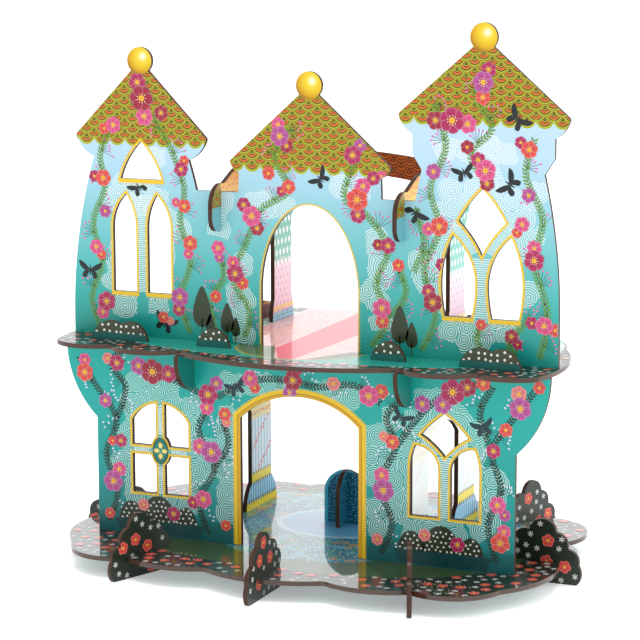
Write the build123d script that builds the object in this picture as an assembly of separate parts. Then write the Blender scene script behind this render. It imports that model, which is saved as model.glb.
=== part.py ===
from build123d import *
import os
from math import cos, isclose, radians, sin

# A toy castle of flat boards that slot together without glue. It stands on seven bush shaped feet.
# Millimetres. Z is up, the front faces -Y, and the boards are drawn with the upper wall's front at Y 0.

# The board and how loosely it slots together
BOARD = 3.0
FIT = 0.1
OVERRUN = 4.0

# Heights of the two storeys
FOOT_CLEARANCE = 11.0
LOWER_HEIGHT = 126.3

# Where the front walls and cross walls stand
WALL_SETBACK = 17.3
LOWER_CROSS_X = 75.0
UPPER_CROSS_X = 63.3

# Base board: lobes between cusps, from the front round to the rear
BASE_HALF_WIDTH = 168.0
BASE_FRONT = 85.5
BASE_REAR = 164.0
BASE_CUSP_SHARES = [(0.244, -0.86), (0.575, -0.835), (0.876, -0.585), (0.958, 0.149), (0.89, 0.424),
                    (0.6875, 0.777), (0.39, 0.902), (0.0, 0.942)]
BASE_BULGE_SHARES = [0.14, 0.14, 0.26, 0.15, 0.23, 0.35, 0.21, 0.19]

# Middle floor: the same kind of outline, a little to the left
FLOOR_X = -2.0
FLOOR_HALF_WIDTH = 169.5
FLOOR_FRONT = 57.0
FLOOR_REAR = 148.5
FLOOR_CUSP_SHARES = [(0.4525, -0.614), (0.7416, -0.57), (0.976, -0.526), (0.9056, 0.431), (0.7316, 0.727),
                     (0.46, 0.939)]
FLOOR_BULGE_SHARES = [0.145, 0.25, 0.21, 0.1, 0.1, 0.2, 0.059]
CUSP_ROUND = 4.0

# Lower front wall: at its top it reaches almost as far out as the base board
LOWER_TOP_INSET = 0.9
CORBEL_REACH = 21.8
CORBEL_DEPTH = 49.7
LOWER_DOOR_HALF = 41.0
LOWER_DOOR_SPRING = 84.7
LOWER_DOOR_RISE = 16.7
LOWER_WINDOW_X = 98.9
CROSS_WINDOW_HALF = 20.3
CROSS_WINDOW_SILL = 28.6
CROSS_WINDOW_SPRING = 77.3
CROSS_WINDOW_RISE = 11.8
CROSS_WINDOW_BAR = 6.6
CROSS_WINDOW_TRANSOM = 57.5
BOSS_HALF_WIDTH = 7.1
BOSS_HALF_HEIGHT = 10.5

# Lower right window, with a Y of bars
LOWER_TRACERY_SILL = 32.0
LOWER_TRACERY_HALF = 22.9
LOWER_TRACERY_HEIGHT = 66.6
TRACERY_BAR = 8.3
LOWER_TRACERY_SHARES = dict(taper=0.0, spring=0.45, leaf_top=0.68, leaf_tip=0.86, kite_foot=0.59,
                            kite_side=0.785, kite_half=0.68)

# Bush shaped tabs on top of the lower front wall, through the middle floor
WIDE_BUSH_X = 127.8
WIDE_BUSH_WIDTH = 41.0
WIDE_BUSH_HEIGHT = 12.5
WIDE_BUSH_LUMP_SHARE = 0.66
SMALL_BUSH_X = 60.5
SMALL_BUSH_WIDTH = 24.0
SMALL_BUSH_HEIGHT = 12.2

# Tabs under the front walls
TAB_WIDTH = 16.0
LOWER_TAB_XS = [57.0, 120.0]
UPPER_TAB_XS = [48.0, 118.0]

# Lower cross walls, measured back from the upper wall's front
HOOK_GRIP = 12.0
BRACKET_REACH = 23.7
BRACKET_DROP = 24.0
BRACKET_FOOT = 7.0
LOWER_JAMB_FRONT = 14.0
LOWER_JAMB_REAR = 70.0
LOWER_CROSS_REAR = 102.0
LOWER_ARCH_SPRING = 68.3
LOWER_ARCH_RISE = 12.3
SKIRTING_FLARE = 9.0
SKIRTING_HEIGHT = 18.3
CROSS_TAB_Y = 95.0
CROSS_TAB_HALF = 15.0
CROSS_TAB_HEIGHT = 12.0

# Upper front wall
PARAPET = 98.9
UPPER_DOOR_HALF = 33.6
UPPER_DOOR_SPRING = 36.0
UPPER_DOOR_RISE = 56.8
BALL_RADIUS = 8.8
EAVE_ROUND = 2.5
EAVE_BULGE_SHARE = 0.12
LEFT_TOWER_X = -119.3
LEFT_BASE_HALF = 50.9
LEFT_FLARE = 10.0
LEFT_NECK_HALF = 34.7
LEFT_NECK = 118.0
LEFT_EAVE_HALF = 47.6
LEFT_EAVE = 132.2
LEFT_BALL = 181.2
MIDDLE_BASE_HALF = 50.2
MIDDLE_NECK_HALF = 48.9
MIDDLE_NECK = 111.7
MIDDLE_EAVE_HALF = 55.7
MIDDLE_EAVE = 119.0
MIDDLE_BALL = 168.7
RIGHT_TOWER_X = 116.0
RIGHT_BASE_HALF = 50.3
RIGHT_FLARE = 30.0
RIGHT_NECK_HALF = 39.9
RIGHT_NECK = 118.8
RIGHT_COLLAR_HALF = 46.3
RIGHT_COLLAR_LOW = 128.8
RIGHT_COLLAR_HIGH = 141.0
RIGHT_EAVE_HALF = 55.7
RIGHT_EAVE = 153.3
RIGHT_BALL = 201.4

# Upper left window: two lancets under a pointed light
LANCET_X = 12.65
LANCET_HALF = 8.4
LANCET_SILL = 29.5
LANCET_SPRING = 72.0
LANCET_TOP = 94.3
LANCET_LEAN = 1.5
TOP_LIGHT_HALF = 14.9
TOP_LIGHT_SILL = 104.3
TOP_LIGHT_TOP = 128.9

# Upper right window
UPPER_TRACERY_SILL = 27.8
UPPER_TRACERY_HALF = 26.6
UPPER_TRACERY_HEIGHT = 80.7
UPPER_TRACERY_SHARES = dict(taper=0.09, spring=0.25, leaf_top=0.638, leaf_tip=0.714, kite_foot=0.486,
                            kite_side=0.746, kite_half=0.58)
KITE_BULGE_SHARES = [0.04, -0.05]
POINTED_BULGE_SHARE = 0.066

# Upper cross walls
UPPER_HOOK_BOTTOM = 73.5
UPPER_HOOK_GRIP = 12.5
UPPER_HOOK_REACH = 13.0
UPPER_HOOK_FOOT = 4.0
UPPER_HOOK_SIDE = 83.0
UPPER_HOOK_SHOULDER = 90.0
UPPER_HOOK_CREST = 103.5
UPPER_HOOK_CREST_Y = 5.0
UPPER_RAMP_Y = 22.0
UPPER_RAMP = 110.8
UPPER_PEAK_Y = 57.0
UPPER_PEAK = 114.5
UPPER_JAMB_FRONT = 16.0
UPPER_JAMB_REAR = 83.5
UPPER_CROSS_REAR = 112.0
UPPER_ARCH_SPRING = 66.0
UPPER_ARCH_RISE = 20.0
UPPER_FLARE = 3.0
UPPER_SKIRTING_HEIGHT = 16.0
UPPER_CORBEL_REACH = 14.0
UPPER_CORBEL_LOW = 69.0
UPPER_CORBEL_HIGH = 98.0

# Roof band that ties the upper cross walls together at the back
BAND_Y = 45.0
BAND_HALF = 70.0
BAND_CROWN = 124.5
BAND_END = 118.3
BAND_DEPTH = 14.6
BAND_LEG_HALF = 56.5
BAND_LEG_BOTTOM = 96.0
BAND_SHOULDER_HALF = 51.5
BAND_SHOULDER = 106.0
BAND_GRIP = 105.0

# Bush shaped feet: notches between lumps, outwards from the board's edge and up from the ground
FOOT_OUT = 15.0
FOOT_IN = 36.0
FOOT_HEIGHT = 41.0
FOOT_GRIP = 17.0
FOOT_TOE_ROUND = 3.0
FOOT_NOTCH_SHARES = [(0.83, 0.0), (0.893, 0.307), (0.413, 0.551), (-0.1, 0.805)]
FOOT_INNER_NOTCH_SHARES = [(-0.536, 0.824), (-0.833, 0.646), (-0.944, 0.366), (-0.944, 0.0)]
FOOT_BULGE_SHARES = [0.17, 0.23, 0.23, 0.44, 0.25, 0.28, 0.0]
FOOT_AZIMUTHS = dict(front=20.7, side=90.0, rear=159.3)

# Pond ornament: two crossed round topped boards
POND_Y = 62.0
POND_HALF = 15.5
POND_HEIGHT = 36.4

LOWER_HALF_WIDTH = BASE_HALF_WIDTH - LOWER_TOP_INSET - CORBEL_REACH
BASE_TOP = FOOT_CLEARANCE + BOARD
FLOOR_TOP = BASE_TOP + LOWER_HEIGHT + BOARD
SLOT = BOARD + 2 * FIT
LOWER_WALL_Y = -WALL_SETBACK
LOWER_WALL_BACK = LOWER_WALL_Y + BOARD


def bulged(start, end, share):
    """An arc that stands out to the right of start to end by a share of its chord, or a line."""
    if share == 0:
        return Line(start, end)
    run = end[0] - start[0], end[1] - start[1]
    middle = (start[0] + end[0]) / 2 + run[1] * share, (start[1] + end[1]) / 2 - run[0] * share
    return ThreePointArc(start, middle, end)


def chain(points, shares):
    """Arcs or lines from point to point, one share for each."""
    return [bulged(start, end, share) for start, end, share in zip(points, points[1:], shares)]


def mirrored(points):
    """The same points on the other side, in the reverse order."""
    return [(-x, y) for x, y in reversed(points)]


def block(x_low, x_high, y_low, y_high):
    """A rectangle given by its sides."""
    return Pos((x_low + x_high) / 2, (y_low + y_high) / 2) * Rectangle(x_high - x_low, y_high - y_low)


def rounded(face, level, radius):
    """The face with its corners at one height rounded."""
    corners = [corner for corner in face.vertices() if isclose(corner.Y, level, abs_tol=FIT)]
    return fillet(corners, radius)


def front_board(face, front):
    """A board that faces the front, drawn in X and Z, with its front side at the Y given."""
    return extrude(Plane.XZ.offset(-front - BOARD) * face, BOARD)


def cross_board(face, centre):
    """A board that runs front to back, drawn in Y and Z, centred on the X given."""
    return extrude(Plane.YZ.offset(centre - BOARD / 2) * face, BOARD)


def flat_board(face, top):
    """A level board, drawn in X and Y, with its upper side at the Z given."""
    return extrude(Plane.XY.offset(top - BOARD) * face, BOARD)


def cusps(shares, half_width, front, rear):
    """The points where lobes meet on the right hand side, from the front round to the rear."""
    return [(x * half_width, y * (rear if y > 0 else front)) for x, y in shares]


def lobed(right, bulges):
    """A closed outline of lobes, the same on both sides."""
    left = mirrored(right)
    if isclose(right[-1][0], 0):
        left = left[1:]
        bulges = bulges + bulges[:0:-1]
    else:
        bulges = bulges + bulges[-2:0:-1]
    points = [left[-1]] + right + left
    face = make_face(chain(points, bulges))
    return fillet(face.vertices(), CUSP_ROUND)


def foot_places():
    """Each foot's name, the point on the board's edge where it slots in, and its azimuth. They take every other cusp."""
    points = cusps(BASE_CUSP_SHARES, BASE_HALF_WIDTH, BASE_FRONT, BASE_REAR)
    front_width = 2 * points[0][0]
    tip = points[0][1] - BASE_BULGE_SHARES[0] * front_width
    places = [("front_centre", (0, tip), 0)]
    for (name, azimuth), (x, y) in zip(FOOT_AZIMUTHS.items(), points[1::2]):
        places.append((name + "_left", (-x, y), -azimuth))
        places.append((name + "_right", (x, y), azimuth))
    return places


def along(point, azimuth, distance):
    """The point moved outwards along its azimuth."""
    return point[0] + distance * sin(radians(azimuth)), point[1] - distance * cos(radians(azimuth))


def foot_slot(point, azimuth):
    """The slot in the base board's edge that takes a foot."""
    middle = along(point, azimuth, (OVERRUN - FOOT_GRIP) / 2)
    return Pos(*middle) * Rot(0, 0, azimuth) * Rectangle(SLOT, FOOT_GRIP + OVERRUN)


def tab_slots(places, front, width):
    """Slots in a level board for tabs of a front wall, on both sides."""
    slots = Sketch()
    for x in places:
        for side in (-x, x):
            slots += block(side - width / 2 - FIT, side + width / 2 + FIT, front - FIT, front + BOARD + FIT)
    return slots


def cross_slots(x, low, high):
    """Slots in a level board for tabs of a pair of cross walls."""
    slots = Sketch()
    for side in (-x, x):
        slots += block(side - SLOT / 2, side + SLOT / 2, low - FIT, high + FIT)
    return slots


def base_board():
    face = lobed(cusps(BASE_CUSP_SHARES, BASE_HALF_WIDTH, BASE_FRONT, BASE_REAR), BASE_BULGE_SHARES)
    for _, point, azimuth in foot_places():
        face -= foot_slot(point, azimuth)
    face -= tab_slots(LOWER_TAB_XS, LOWER_WALL_Y, TAB_WIDTH)
    face -= cross_slots(LOWER_CROSS_X, *lower_foot_tab())
    return flat_board(face, BASE_TOP)


def middle_floor():
    points = cusps(FLOOR_CUSP_SHARES, FLOOR_HALF_WIDTH, FLOOR_FRONT, FLOOR_REAR)
    face = Pos(FLOOR_X, 0) * lobed(points, FLOOR_BULGE_SHARES)
    face -= tab_slots([WIDE_BUSH_X], LOWER_WALL_Y, WIDE_BUSH_WIDTH)
    face -= tab_slots([SMALL_BUSH_X], LOWER_WALL_Y, SMALL_BUSH_WIDTH)
    face -= tab_slots(UPPER_TAB_XS, 0, TAB_WIDTH)
    face -= cross_slots(LOWER_CROSS_X, CROSS_TAB_Y - CROSS_TAB_HALF, CROSS_TAB_Y + CROSS_TAB_HALF)
    face -= cross_slots(UPPER_CROSS_X, *upper_foot_tab())
    return flat_board(face, FLOOR_TOP)


def foot_outline():
    """A bush of six lumps with a level foot, outwards from the board's edge and up from the ground."""
    outer = [(x * FOOT_OUT, y * FOOT_HEIGHT) for x, y in FOOT_NOTCH_SHARES]
    inner = [(x * FOOT_IN, y * FOOT_HEIGHT) for x, y in FOOT_INNER_NOTCH_SHARES]
    points = outer + inner + outer[:1]
    face = make_face(chain(points, FOOT_BULGE_SHARES + FOOT_BULGE_SHARES[-1:]))
    toe = face.vertices().sort_by(Axis.Y)[:2].sort_by(Axis.X)[-1]
    return fillet(toe, FOOT_TOE_ROUND) - block(-FOOT_IN - OVERRUN, -FOOT_GRIP, BASE_TOP - BOARD - FIT, BASE_TOP + FIT)


def foot(point, azimuth):
    """One foot, turned to its azimuth, with its slot round the base board."""
    board = extrude(Plane.YZ.offset(-BOARD / 2) * foot_outline(), BOARD)
    return Pos(*point, 0) * Rot(0, 0, azimuth + 180) * board


def corbelled(half_width, height):
    """A wall with a curved corbel under its top corners."""
    side = half_width + CORBEL_REACH
    low = height - CORBEL_DEPTH
    right = TangentArc((side, height), (half_width, low), tangent=(0, -1))
    left = TangentArc((-side, height), (-half_width, low), tangent=(0, -1))
    edges = [right, left, Line((side, height), (-side, height))]
    edges += Polyline((-half_width, low), (-half_width, 0), (half_width, 0), (half_width, low)).edges()
    return make_face(edges)


def bush_tabs(height):
    """Bush shaped tabs on the top edge, a wide one with two lumps and a small one on each side."""
    lump = WIDE_BUSH_WIDTH * WIDE_BUSH_LUMP_SHARE / 2
    bushes = Sketch()
    for side in (-1, 1):
        for lump_side in (-1, 1):
            middle = side * WIDE_BUSH_X + lump_side * (WIDE_BUSH_WIDTH / 2 - lump)
            bushes += Pos(middle, height) * Ellipse(lump, WIDE_BUSH_HEIGHT + BOARD)
        bushes += Pos(side * SMALL_BUSH_X, height) * Ellipse(SMALL_BUSH_WIDTH / 2, SMALL_BUSH_HEIGHT + BOARD)
    reach = LOWER_HALF_WIDTH + CORBEL_REACH
    return bushes & block(-reach, reach, height, height + BOARD + WIDE_BUSH_HEIGHT)


def segment_arch(half, spring, rise, floor):
    """An opening with straight sides and a low arch, cut from below the floor."""
    sides = Polyline((-half, spring), (-half, floor), (half, floor), (half, spring))
    return make_face([*sides.edges(), ThreePointArc((half, spring), (0, spring + rise), (-half, spring))])


def cross_window():
    """The four panes of an arched window, round a boss where the bars cross."""
    glass = segment_arch(CROSS_WINDOW_HALF, CROSS_WINDOW_SPRING, CROSS_WINDOW_RISE, CROSS_WINDOW_SILL)
    bars = block(-CROSS_WINDOW_BAR / 2, CROSS_WINDOW_BAR / 2, 0, LOWER_HEIGHT)
    bars += Pos(0, CROSS_WINDOW_TRANSOM) * Rectangle(3 * CROSS_WINDOW_HALF, CROSS_WINDOW_BAR)
    bars += Pos(0, CROSS_WINDOW_TRANSOM) * Ellipse(BOSS_HALF_WIDTH, BOSS_HALF_HEIGHT)
    return glass - bars


def leaf(side, half, height, shares):
    """One leaf shaped light beside the middle bar."""
    inner = side * TRACERY_BAR / 2
    outer = side * half
    taper = side * half * shares["taper"]
    spring = height * shares["spring"]
    tip = side * half * shares["leaf_tip"], height * shares["leaf_top"]
    edges = [TangentArc((outer, spring), tip, tangent=(0, 1)), TangentArc((inner, spring), tip, tangent=(0, 1))]
    edges += [Bezier((outer, spring), (outer, spring / 2), (outer - taper, 0))]
    edges += [Bezier((inner, spring), (inner, spring / 2), (inner + taper, 0))]
    return make_face(edges + [Line((inner + taper, 0), (outer - taper, 0))])


def kite(half, height, shares):
    """The light above the two leaves."""
    side = shares["kite_half"] * half, shares["kite_side"] * height
    foot_point = 0, shares["kite_foot"] * height
    points = [foot_point, side, (0, height), *mirrored([side]), foot_point]
    over, under = KITE_BULGE_SHARES
    return make_face(chain(points, [under, over, over, under]))


def tracery(half, height, shares):
    """Two leaf shaped lights under a kite, divided by a Y of bars, up from the sill."""
    return leaf(-1, half, height, shares) + leaf(1, half, height, shares) + kite(half, height, shares)


def lower_front_wall():
    face = corbelled(LOWER_HALF_WIDTH, LOWER_HEIGHT)
    face += bush_tabs(LOWER_HEIGHT)
    face -= segment_arch(LOWER_DOOR_HALF, LOWER_DOOR_SPRING, LOWER_DOOR_RISE, 0)
    face -= Pos(-LOWER_WINDOW_X, 0) * cross_window()
    face -= Pos(LOWER_WINDOW_X, LOWER_TRACERY_SILL) * tracery(
        LOWER_TRACERY_HALF, LOWER_TRACERY_HEIGHT, LOWER_TRACERY_SHARES)
    face -= cross_slots(LOWER_CROSS_X, LOWER_HEIGHT - HOOK_GRIP + FIT, LOWER_HEIGHT)
    face += bottom_tabs(LOWER_TAB_XS)
    return front_board(Pos(0, BASE_TOP) * face, LOWER_WALL_Y)


def bottom_tabs(places):
    """Tabs under a front wall, as deep as the board that they go into."""
    tabs = Sketch()
    for x in places:
        for side in (-x, x):
            tabs += block(side - TAB_WIDTH / 2, side + TAB_WIDTH / 2, -BOARD, 0)
    return tabs


def lower_foot_tab():
    """Where the tab under a lower cross wall begins and ends, in the middle of its rear jamb."""
    middle = (LOWER_JAMB_REAR + LOWER_CROSS_REAR) / 2
    return middle - TAB_WIDTH / 2, middle + TAB_WIDTH / 2


def upper_foot_tab():
    """Where the tab under an upper cross wall begins and ends."""
    middle = (UPPER_JAMB_REAR + UPPER_CROSS_REAR) / 2
    return middle - TAB_WIDTH / 2, middle + TAB_WIDTH / 2


def lower_cross_outline():
    """From the hook under the floor, back along it, down the rear edge and round the arch."""
    top = LOWER_HEIGHT
    reach = LOWER_WALL_Y - BRACKET_REACH
    bracket = top - BRACKET_DROP
    corbel_low = top - CORBEL_DEPTH
    corbel_y = LOWER_CROSS_REAR + CORBEL_REACH
    front = LOWER_WALL_BACK + FIT
    slot_front = LOWER_WALL_Y - FIT
    arch_middle = (LOWER_JAMB_FRONT + LOWER_JAMB_REAR) / 2
    edges = [*Polyline((corbel_y, top), (reach, top), (reach, top - BOARD)).edges()]
    edges += [TangentArc((reach, top - BOARD), (LOWER_WALL_Y - BRACKET_FOOT, bracket), tangent=(0, -1))]
    edges += Polyline((LOWER_WALL_Y - BRACKET_FOOT, bracket), (slot_front, bracket), (slot_front, top - HOOK_GRIP),
                      (front, top - HOOK_GRIP), (front, 0), (LOWER_JAMB_FRONT + SKIRTING_FLARE, 0)).edges()
    edges += [skirting(LOWER_JAMB_FRONT + SKIRTING_FLARE, LOWER_JAMB_FRONT, SKIRTING_HEIGHT)]
    edges += [Line((LOWER_JAMB_FRONT, SKIRTING_HEIGHT), (LOWER_JAMB_FRONT, LOWER_ARCH_SPRING))]
    edges += [ThreePointArc((LOWER_JAMB_FRONT, LOWER_ARCH_SPRING),
                            (arch_middle, LOWER_ARCH_SPRING + LOWER_ARCH_RISE),
                            (LOWER_JAMB_REAR, LOWER_ARCH_SPRING))]
    edges += [Line((LOWER_JAMB_REAR, LOWER_ARCH_SPRING), (LOWER_JAMB_REAR, SKIRTING_HEIGHT))]
    edges += [skirting(LOWER_JAMB_REAR - SKIRTING_FLARE, LOWER_JAMB_REAR, SKIRTING_HEIGHT)]
    edges += [Line((LOWER_JAMB_REAR - SKIRTING_FLARE, 0), (LOWER_CROSS_REAR + SKIRTING_FLARE, 0))]
    edges += [skirting(LOWER_CROSS_REAR + SKIRTING_FLARE, LOWER_CROSS_REAR, SKIRTING_HEIGHT)]
    edges += [Line((LOWER_CROSS_REAR, SKIRTING_HEIGHT), (LOWER_CROSS_REAR, corbel_low))]
    edges += [TangentArc((corbel_y, top), (LOWER_CROSS_REAR, corbel_low), tangent=(0, -1))]
    return make_face(edges)


def skirting(foot_y, jamb_y, height):
    """The curved flare at the foot of a jamb, upright at the floor."""
    return TangentArc((foot_y, 0), (jamb_y, height), tangent=(0, 1))


def lower_cross_wall(x):
    face = lower_cross_outline()
    tab = Pos(CROSS_TAB_Y, LOWER_HEIGHT) * Ellipse(CROSS_TAB_HALF, CROSS_TAB_HEIGHT + BOARD)
    low, high = CROSS_TAB_Y - CROSS_TAB_HALF, CROSS_TAB_Y + CROSS_TAB_HALF
    face += tab & block(low, high, LOWER_HEIGHT, LOWER_HEIGHT + BOARD + CROSS_TAB_HEIGHT)
    face += block(*lower_foot_tab(), -BOARD, 0)
    return cross_board(Pos(0, BASE_TOP) * face, x)


def tower(base_half, flare, neck, eave_half, eave, ball, collar):
    """One tower with its roof and ball. The neck is a half width and a height, and so is each collar point."""
    side = [neck, *collar]
    right = [TangentArc((base_half, flare), neck, tangent=(0, 1))]
    left = [TangentArc((-base_half, flare), (-neck[0], neck[1]), tangent=(0, 1))]
    if collar:
        right += Polyline(*side).edges()
        left += Polyline(*mirrored(side)).edges()
    right += [bulged(side[-1], (eave_half, eave), EAVE_BULGE_SHARE)]
    left += [bulged((-eave_half, eave), (-side[-1][0], side[-1][1]), EAVE_BULGE_SHARE)]
    roof = Polyline((eave_half, eave), (0, ball), (-eave_half, eave)).edges()
    base = Polyline((-base_half, flare), (-base_half, 0), (base_half, 0), (base_half, flare)).edges()
    face = rounded(make_face([*right, *left, *roof, *base]), eave, EAVE_ROUND)
    return face + Pos(0, ball) * Circle(BALL_RADIUS)


def left_tower():
    neck = LEFT_NECK_HALF, LEFT_NECK
    return tower(LEFT_BASE_HALF, LEFT_FLARE, neck, LEFT_EAVE_HALF, LEFT_EAVE, LEFT_BALL, [])


def middle_tower():
    neck = MIDDLE_NECK_HALF, MIDDLE_NECK
    return tower(MIDDLE_BASE_HALF, UPPER_DOOR_SPRING, neck, MIDDLE_EAVE_HALF, MIDDLE_EAVE, MIDDLE_BALL, [])


def right_tower():
    neck = RIGHT_NECK_HALF, RIGHT_NECK
    collar = [(RIGHT_COLLAR_HALF, RIGHT_COLLAR_LOW), (RIGHT_COLLAR_HALF, RIGHT_COLLAR_HIGH)]
    return tower(RIGHT_BASE_HALF, RIGHT_FLARE, neck, RIGHT_EAVE_HALF, RIGHT_EAVE, RIGHT_BALL, collar)


def lancet(side):
    """A narrow light whose point leans towards the middle bar."""
    inner = side * (LANCET_X - LANCET_HALF)
    outer = side * (LANCET_X + LANCET_HALF)
    tip = side * (LANCET_X - LANCET_LEAN), LANCET_TOP
    edges = [TangentArc((x, LANCET_SPRING), tip, tangent=(0, 1)) for x in (inner, outer)]
    edges += Polyline((inner, LANCET_SPRING), (inner, LANCET_SILL), (outer, LANCET_SILL),
                      (outer, LANCET_SPRING)).edges()
    return make_face(edges)


def lancet_window():
    """Two lancets under a pointed light."""
    corner = TOP_LIGHT_HALF, TOP_LIGHT_SILL
    points = [*mirrored([corner]), corner, (0, TOP_LIGHT_TOP), *mirrored([corner])]
    top = make_face(chain(points, [0, POINTED_BULGE_SHARE, POINTED_BULGE_SHARE]))
    return lancet(-1) + lancet(1) + top


def upper_door():
    """A tall door with a half elliptical head."""
    head = Pos(0, UPPER_DOOR_SPRING) * Ellipse(UPPER_DOOR_HALF, UPPER_DOOR_RISE)
    return head + block(-UPPER_DOOR_HALF, UPPER_DOOR_HALF, 0, UPPER_DOOR_SPRING) & block(
        -UPPER_DOOR_HALF, UPPER_DOOR_HALF, 0, UPPER_DOOR_SPRING + UPPER_DOOR_RISE)


def upper_front_wall():
    face = block(LEFT_TOWER_X, RIGHT_TOWER_X, 0, PARAPET)
    face += Pos(LEFT_TOWER_X, 0) * left_tower()
    face += middle_tower()
    face += Pos(RIGHT_TOWER_X, 0) * right_tower()
    face -= upper_door()
    face -= Pos(LEFT_TOWER_X, 0) * lancet_window()
    face -= Pos(RIGHT_TOWER_X, UPPER_TRACERY_SILL) * tracery(
        UPPER_TRACERY_HALF, UPPER_TRACERY_HEIGHT, UPPER_TRACERY_SHARES)
    face -= cross_slots(UPPER_CROSS_X, UPPER_HOOK_BOTTOM + UPPER_HOOK_GRIP + FIT, PARAPET)
    face += bottom_tabs(UPPER_TAB_XS)
    return front_board(Pos(0, FLOOR_TOP) * face, 0)


def upper_cross_outline():
    """From the hook in front of the wall, over the top, down the rear edge and round the arch."""
    grip = UPPER_HOOK_BOTTOM + UPPER_HOOK_GRIP
    front = BOARD + FIT
    arch_middle = (UPPER_JAMB_FRONT + UPPER_JAMB_REAR) / 2
    corbel_y = UPPER_CROSS_REAR + UPPER_CORBEL_REACH
    crest = UPPER_HOOK_CREST_Y, UPPER_HOOK_CREST
    edges = [ThreePointArc((UPPER_JAMB_FRONT, UPPER_ARCH_SPRING),
                           (arch_middle, UPPER_ARCH_SPRING + UPPER_ARCH_RISE),
                           (UPPER_JAMB_REAR, UPPER_ARCH_SPRING))]
    edges += Polyline((UPPER_JAMB_FRONT, UPPER_ARCH_SPRING), (UPPER_JAMB_FRONT, 0), (front, 0), (front, grip),
                      (-FIT, grip), (-FIT, UPPER_HOOK_BOTTOM), (-UPPER_HOOK_FOOT, UPPER_HOOK_BOTTOM)).edges()
    side = -UPPER_HOOK_REACH, UPPER_HOOK_SIDE
    shoulder = -UPPER_HOOK_REACH, UPPER_HOOK_SHOULDER
    edges += [TangentArc(side, (-UPPER_HOOK_FOOT, UPPER_HOOK_BOTTOM), tangent=(0, -1)), Line(side, shoulder)]
    edges += [TangentArc(shoulder, crest, tangent=(0, 1)), Line(crest, (UPPER_RAMP_Y, UPPER_RAMP))]
    edges += Spline((UPPER_RAMP_Y, UPPER_RAMP), (UPPER_PEAK_Y, UPPER_PEAK), (corbel_y, UPPER_CORBEL_HIGH)).edges()
    edges += [TangentArc((corbel_y, UPPER_CORBEL_HIGH), (UPPER_CROSS_REAR, UPPER_CORBEL_LOW), tangent=(0, -1))]
    edges += [Line((UPPER_CROSS_REAR, UPPER_CORBEL_LOW), (UPPER_CROSS_REAR, UPPER_SKIRTING_HEIGHT))]
    edges += [skirting(UPPER_CROSS_REAR + UPPER_FLARE, UPPER_CROSS_REAR, UPPER_SKIRTING_HEIGHT)]
    edges += [Line((UPPER_CROSS_REAR + UPPER_FLARE, 0), (UPPER_JAMB_REAR - UPPER_FLARE, 0))]
    edges += [skirting(UPPER_JAMB_REAR - UPPER_FLARE, UPPER_JAMB_REAR, UPPER_SKIRTING_HEIGHT)]
    edges += [Line((UPPER_JAMB_REAR, UPPER_SKIRTING_HEIGHT), (UPPER_JAMB_REAR, UPPER_ARCH_SPRING))]
    return make_face(edges)


def upper_cross_wall(x):
    face = upper_cross_outline()
    face += block(*upper_foot_tab(), -BOARD, 0)
    face -= block(BAND_Y - FIT, BAND_Y + BOARD + FIT, BAND_GRIP, BAND_CROWN)
    return cross_board(Pos(0, FLOOR_TOP) * face, x)


def roof_band():
    """A shallow arched band of roof with a leg at each end that hooks over a cross wall."""
    leg = BAND_LEG_HALF, BAND_LEG_BOTTOM
    shoulder = BAND_SHOULDER_HALF, BAND_SHOULDER
    top = BAND_HALF, BAND_END
    edges = [ThreePointArc(top, (0, BAND_CROWN), (-top[0], top[1]))]
    edges += [ThreePointArc(shoulder, (0, BAND_CROWN - BAND_DEPTH), (-shoulder[0], shoulder[1]))]
    edges += Polyline(top, (BAND_HALF, BAND_LEG_BOTTOM), leg).edges()
    edges += Polyline(*mirrored([top, (BAND_HALF, BAND_LEG_BOTTOM), leg])).edges()
    edges += [TangentArc(leg, shoulder, tangent=(0, 1))]
    edges += [TangentArc((-leg[0], leg[1]), (-shoulder[0], shoulder[1]), tangent=(0, 1))]
    face = make_face(edges) - cross_slots(UPPER_CROSS_X, BAND_LEG_BOTTOM, BAND_GRIP - FIT)
    return front_board(Pos(0, FLOOR_TOP) * face, BAND_Y)


def pond_outline():
    """A board with a round top."""
    spring = POND_HEIGHT - POND_HALF
    return block(-POND_HALF, POND_HALF, 0, spring) + (Pos(0, spring) * Circle(POND_HALF))


def pond_boards():
    """Two boards that slot into each other at right angles, one from above and one from below."""
    half = POND_HEIGHT / 2
    upper_slot = block(-SLOT / 2, SLOT / 2, half, POND_HEIGHT)
    lower_slot = block(-SLOT / 2, SLOT / 2, 0, half)
    raised = Pos(0, BASE_TOP)
    along_x = front_board(raised * (pond_outline() - upper_slot), POND_Y - BOARD / 2)
    across = cross_board(Pos(POND_Y, BASE_TOP) * (pond_outline() - lower_slot), 0)
    return along_x, across


def pieces():
    """Every board by name, in the frame of the upper wall."""
    boards = dict(base_board=base_board(), middle_floor=middle_floor())
    boards["lower_front_wall"] = lower_front_wall()
    boards["upper_front_wall"] = upper_front_wall()
    boards["rear_roof_band"] = roof_band()
    boards["pond_board"], boards["pond_cross_board"] = pond_boards()
    for side, sign in (("left", -1), ("right", 1)):
        boards["lower_" + side + "_cross_wall"] = lower_cross_wall(sign * LOWER_CROSS_X)
        boards["upper_" + side + "_cross_wall"] = upper_cross_wall(sign * UPPER_CROSS_X)
    for name, point, azimuth in foot_places():
        boards["bush_foot_" + name] = foot(point, azimuth)
    return boards


def main():
    os.makedirs("parts", exist_ok=True)
    boards = pieces()
    rear = boards["base_board"].bounding_box().max.Y
    front = boards["bush_foot_front_centre"].bounding_box().min.Y
    for name, board in boards.items():
        export_step(Pos(0, -(rear + front) / 2, 0) * board, "parts/" + name + ".step")


main()
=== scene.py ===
import random
from collections import namedtuple
from math import atan2, cos, dist, hypot, pi, radians, sin, tau as TAU

import bpy
from mathutils import Euler, Matrix, Vector
from mathutils.bvhtree import BVHTree


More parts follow.
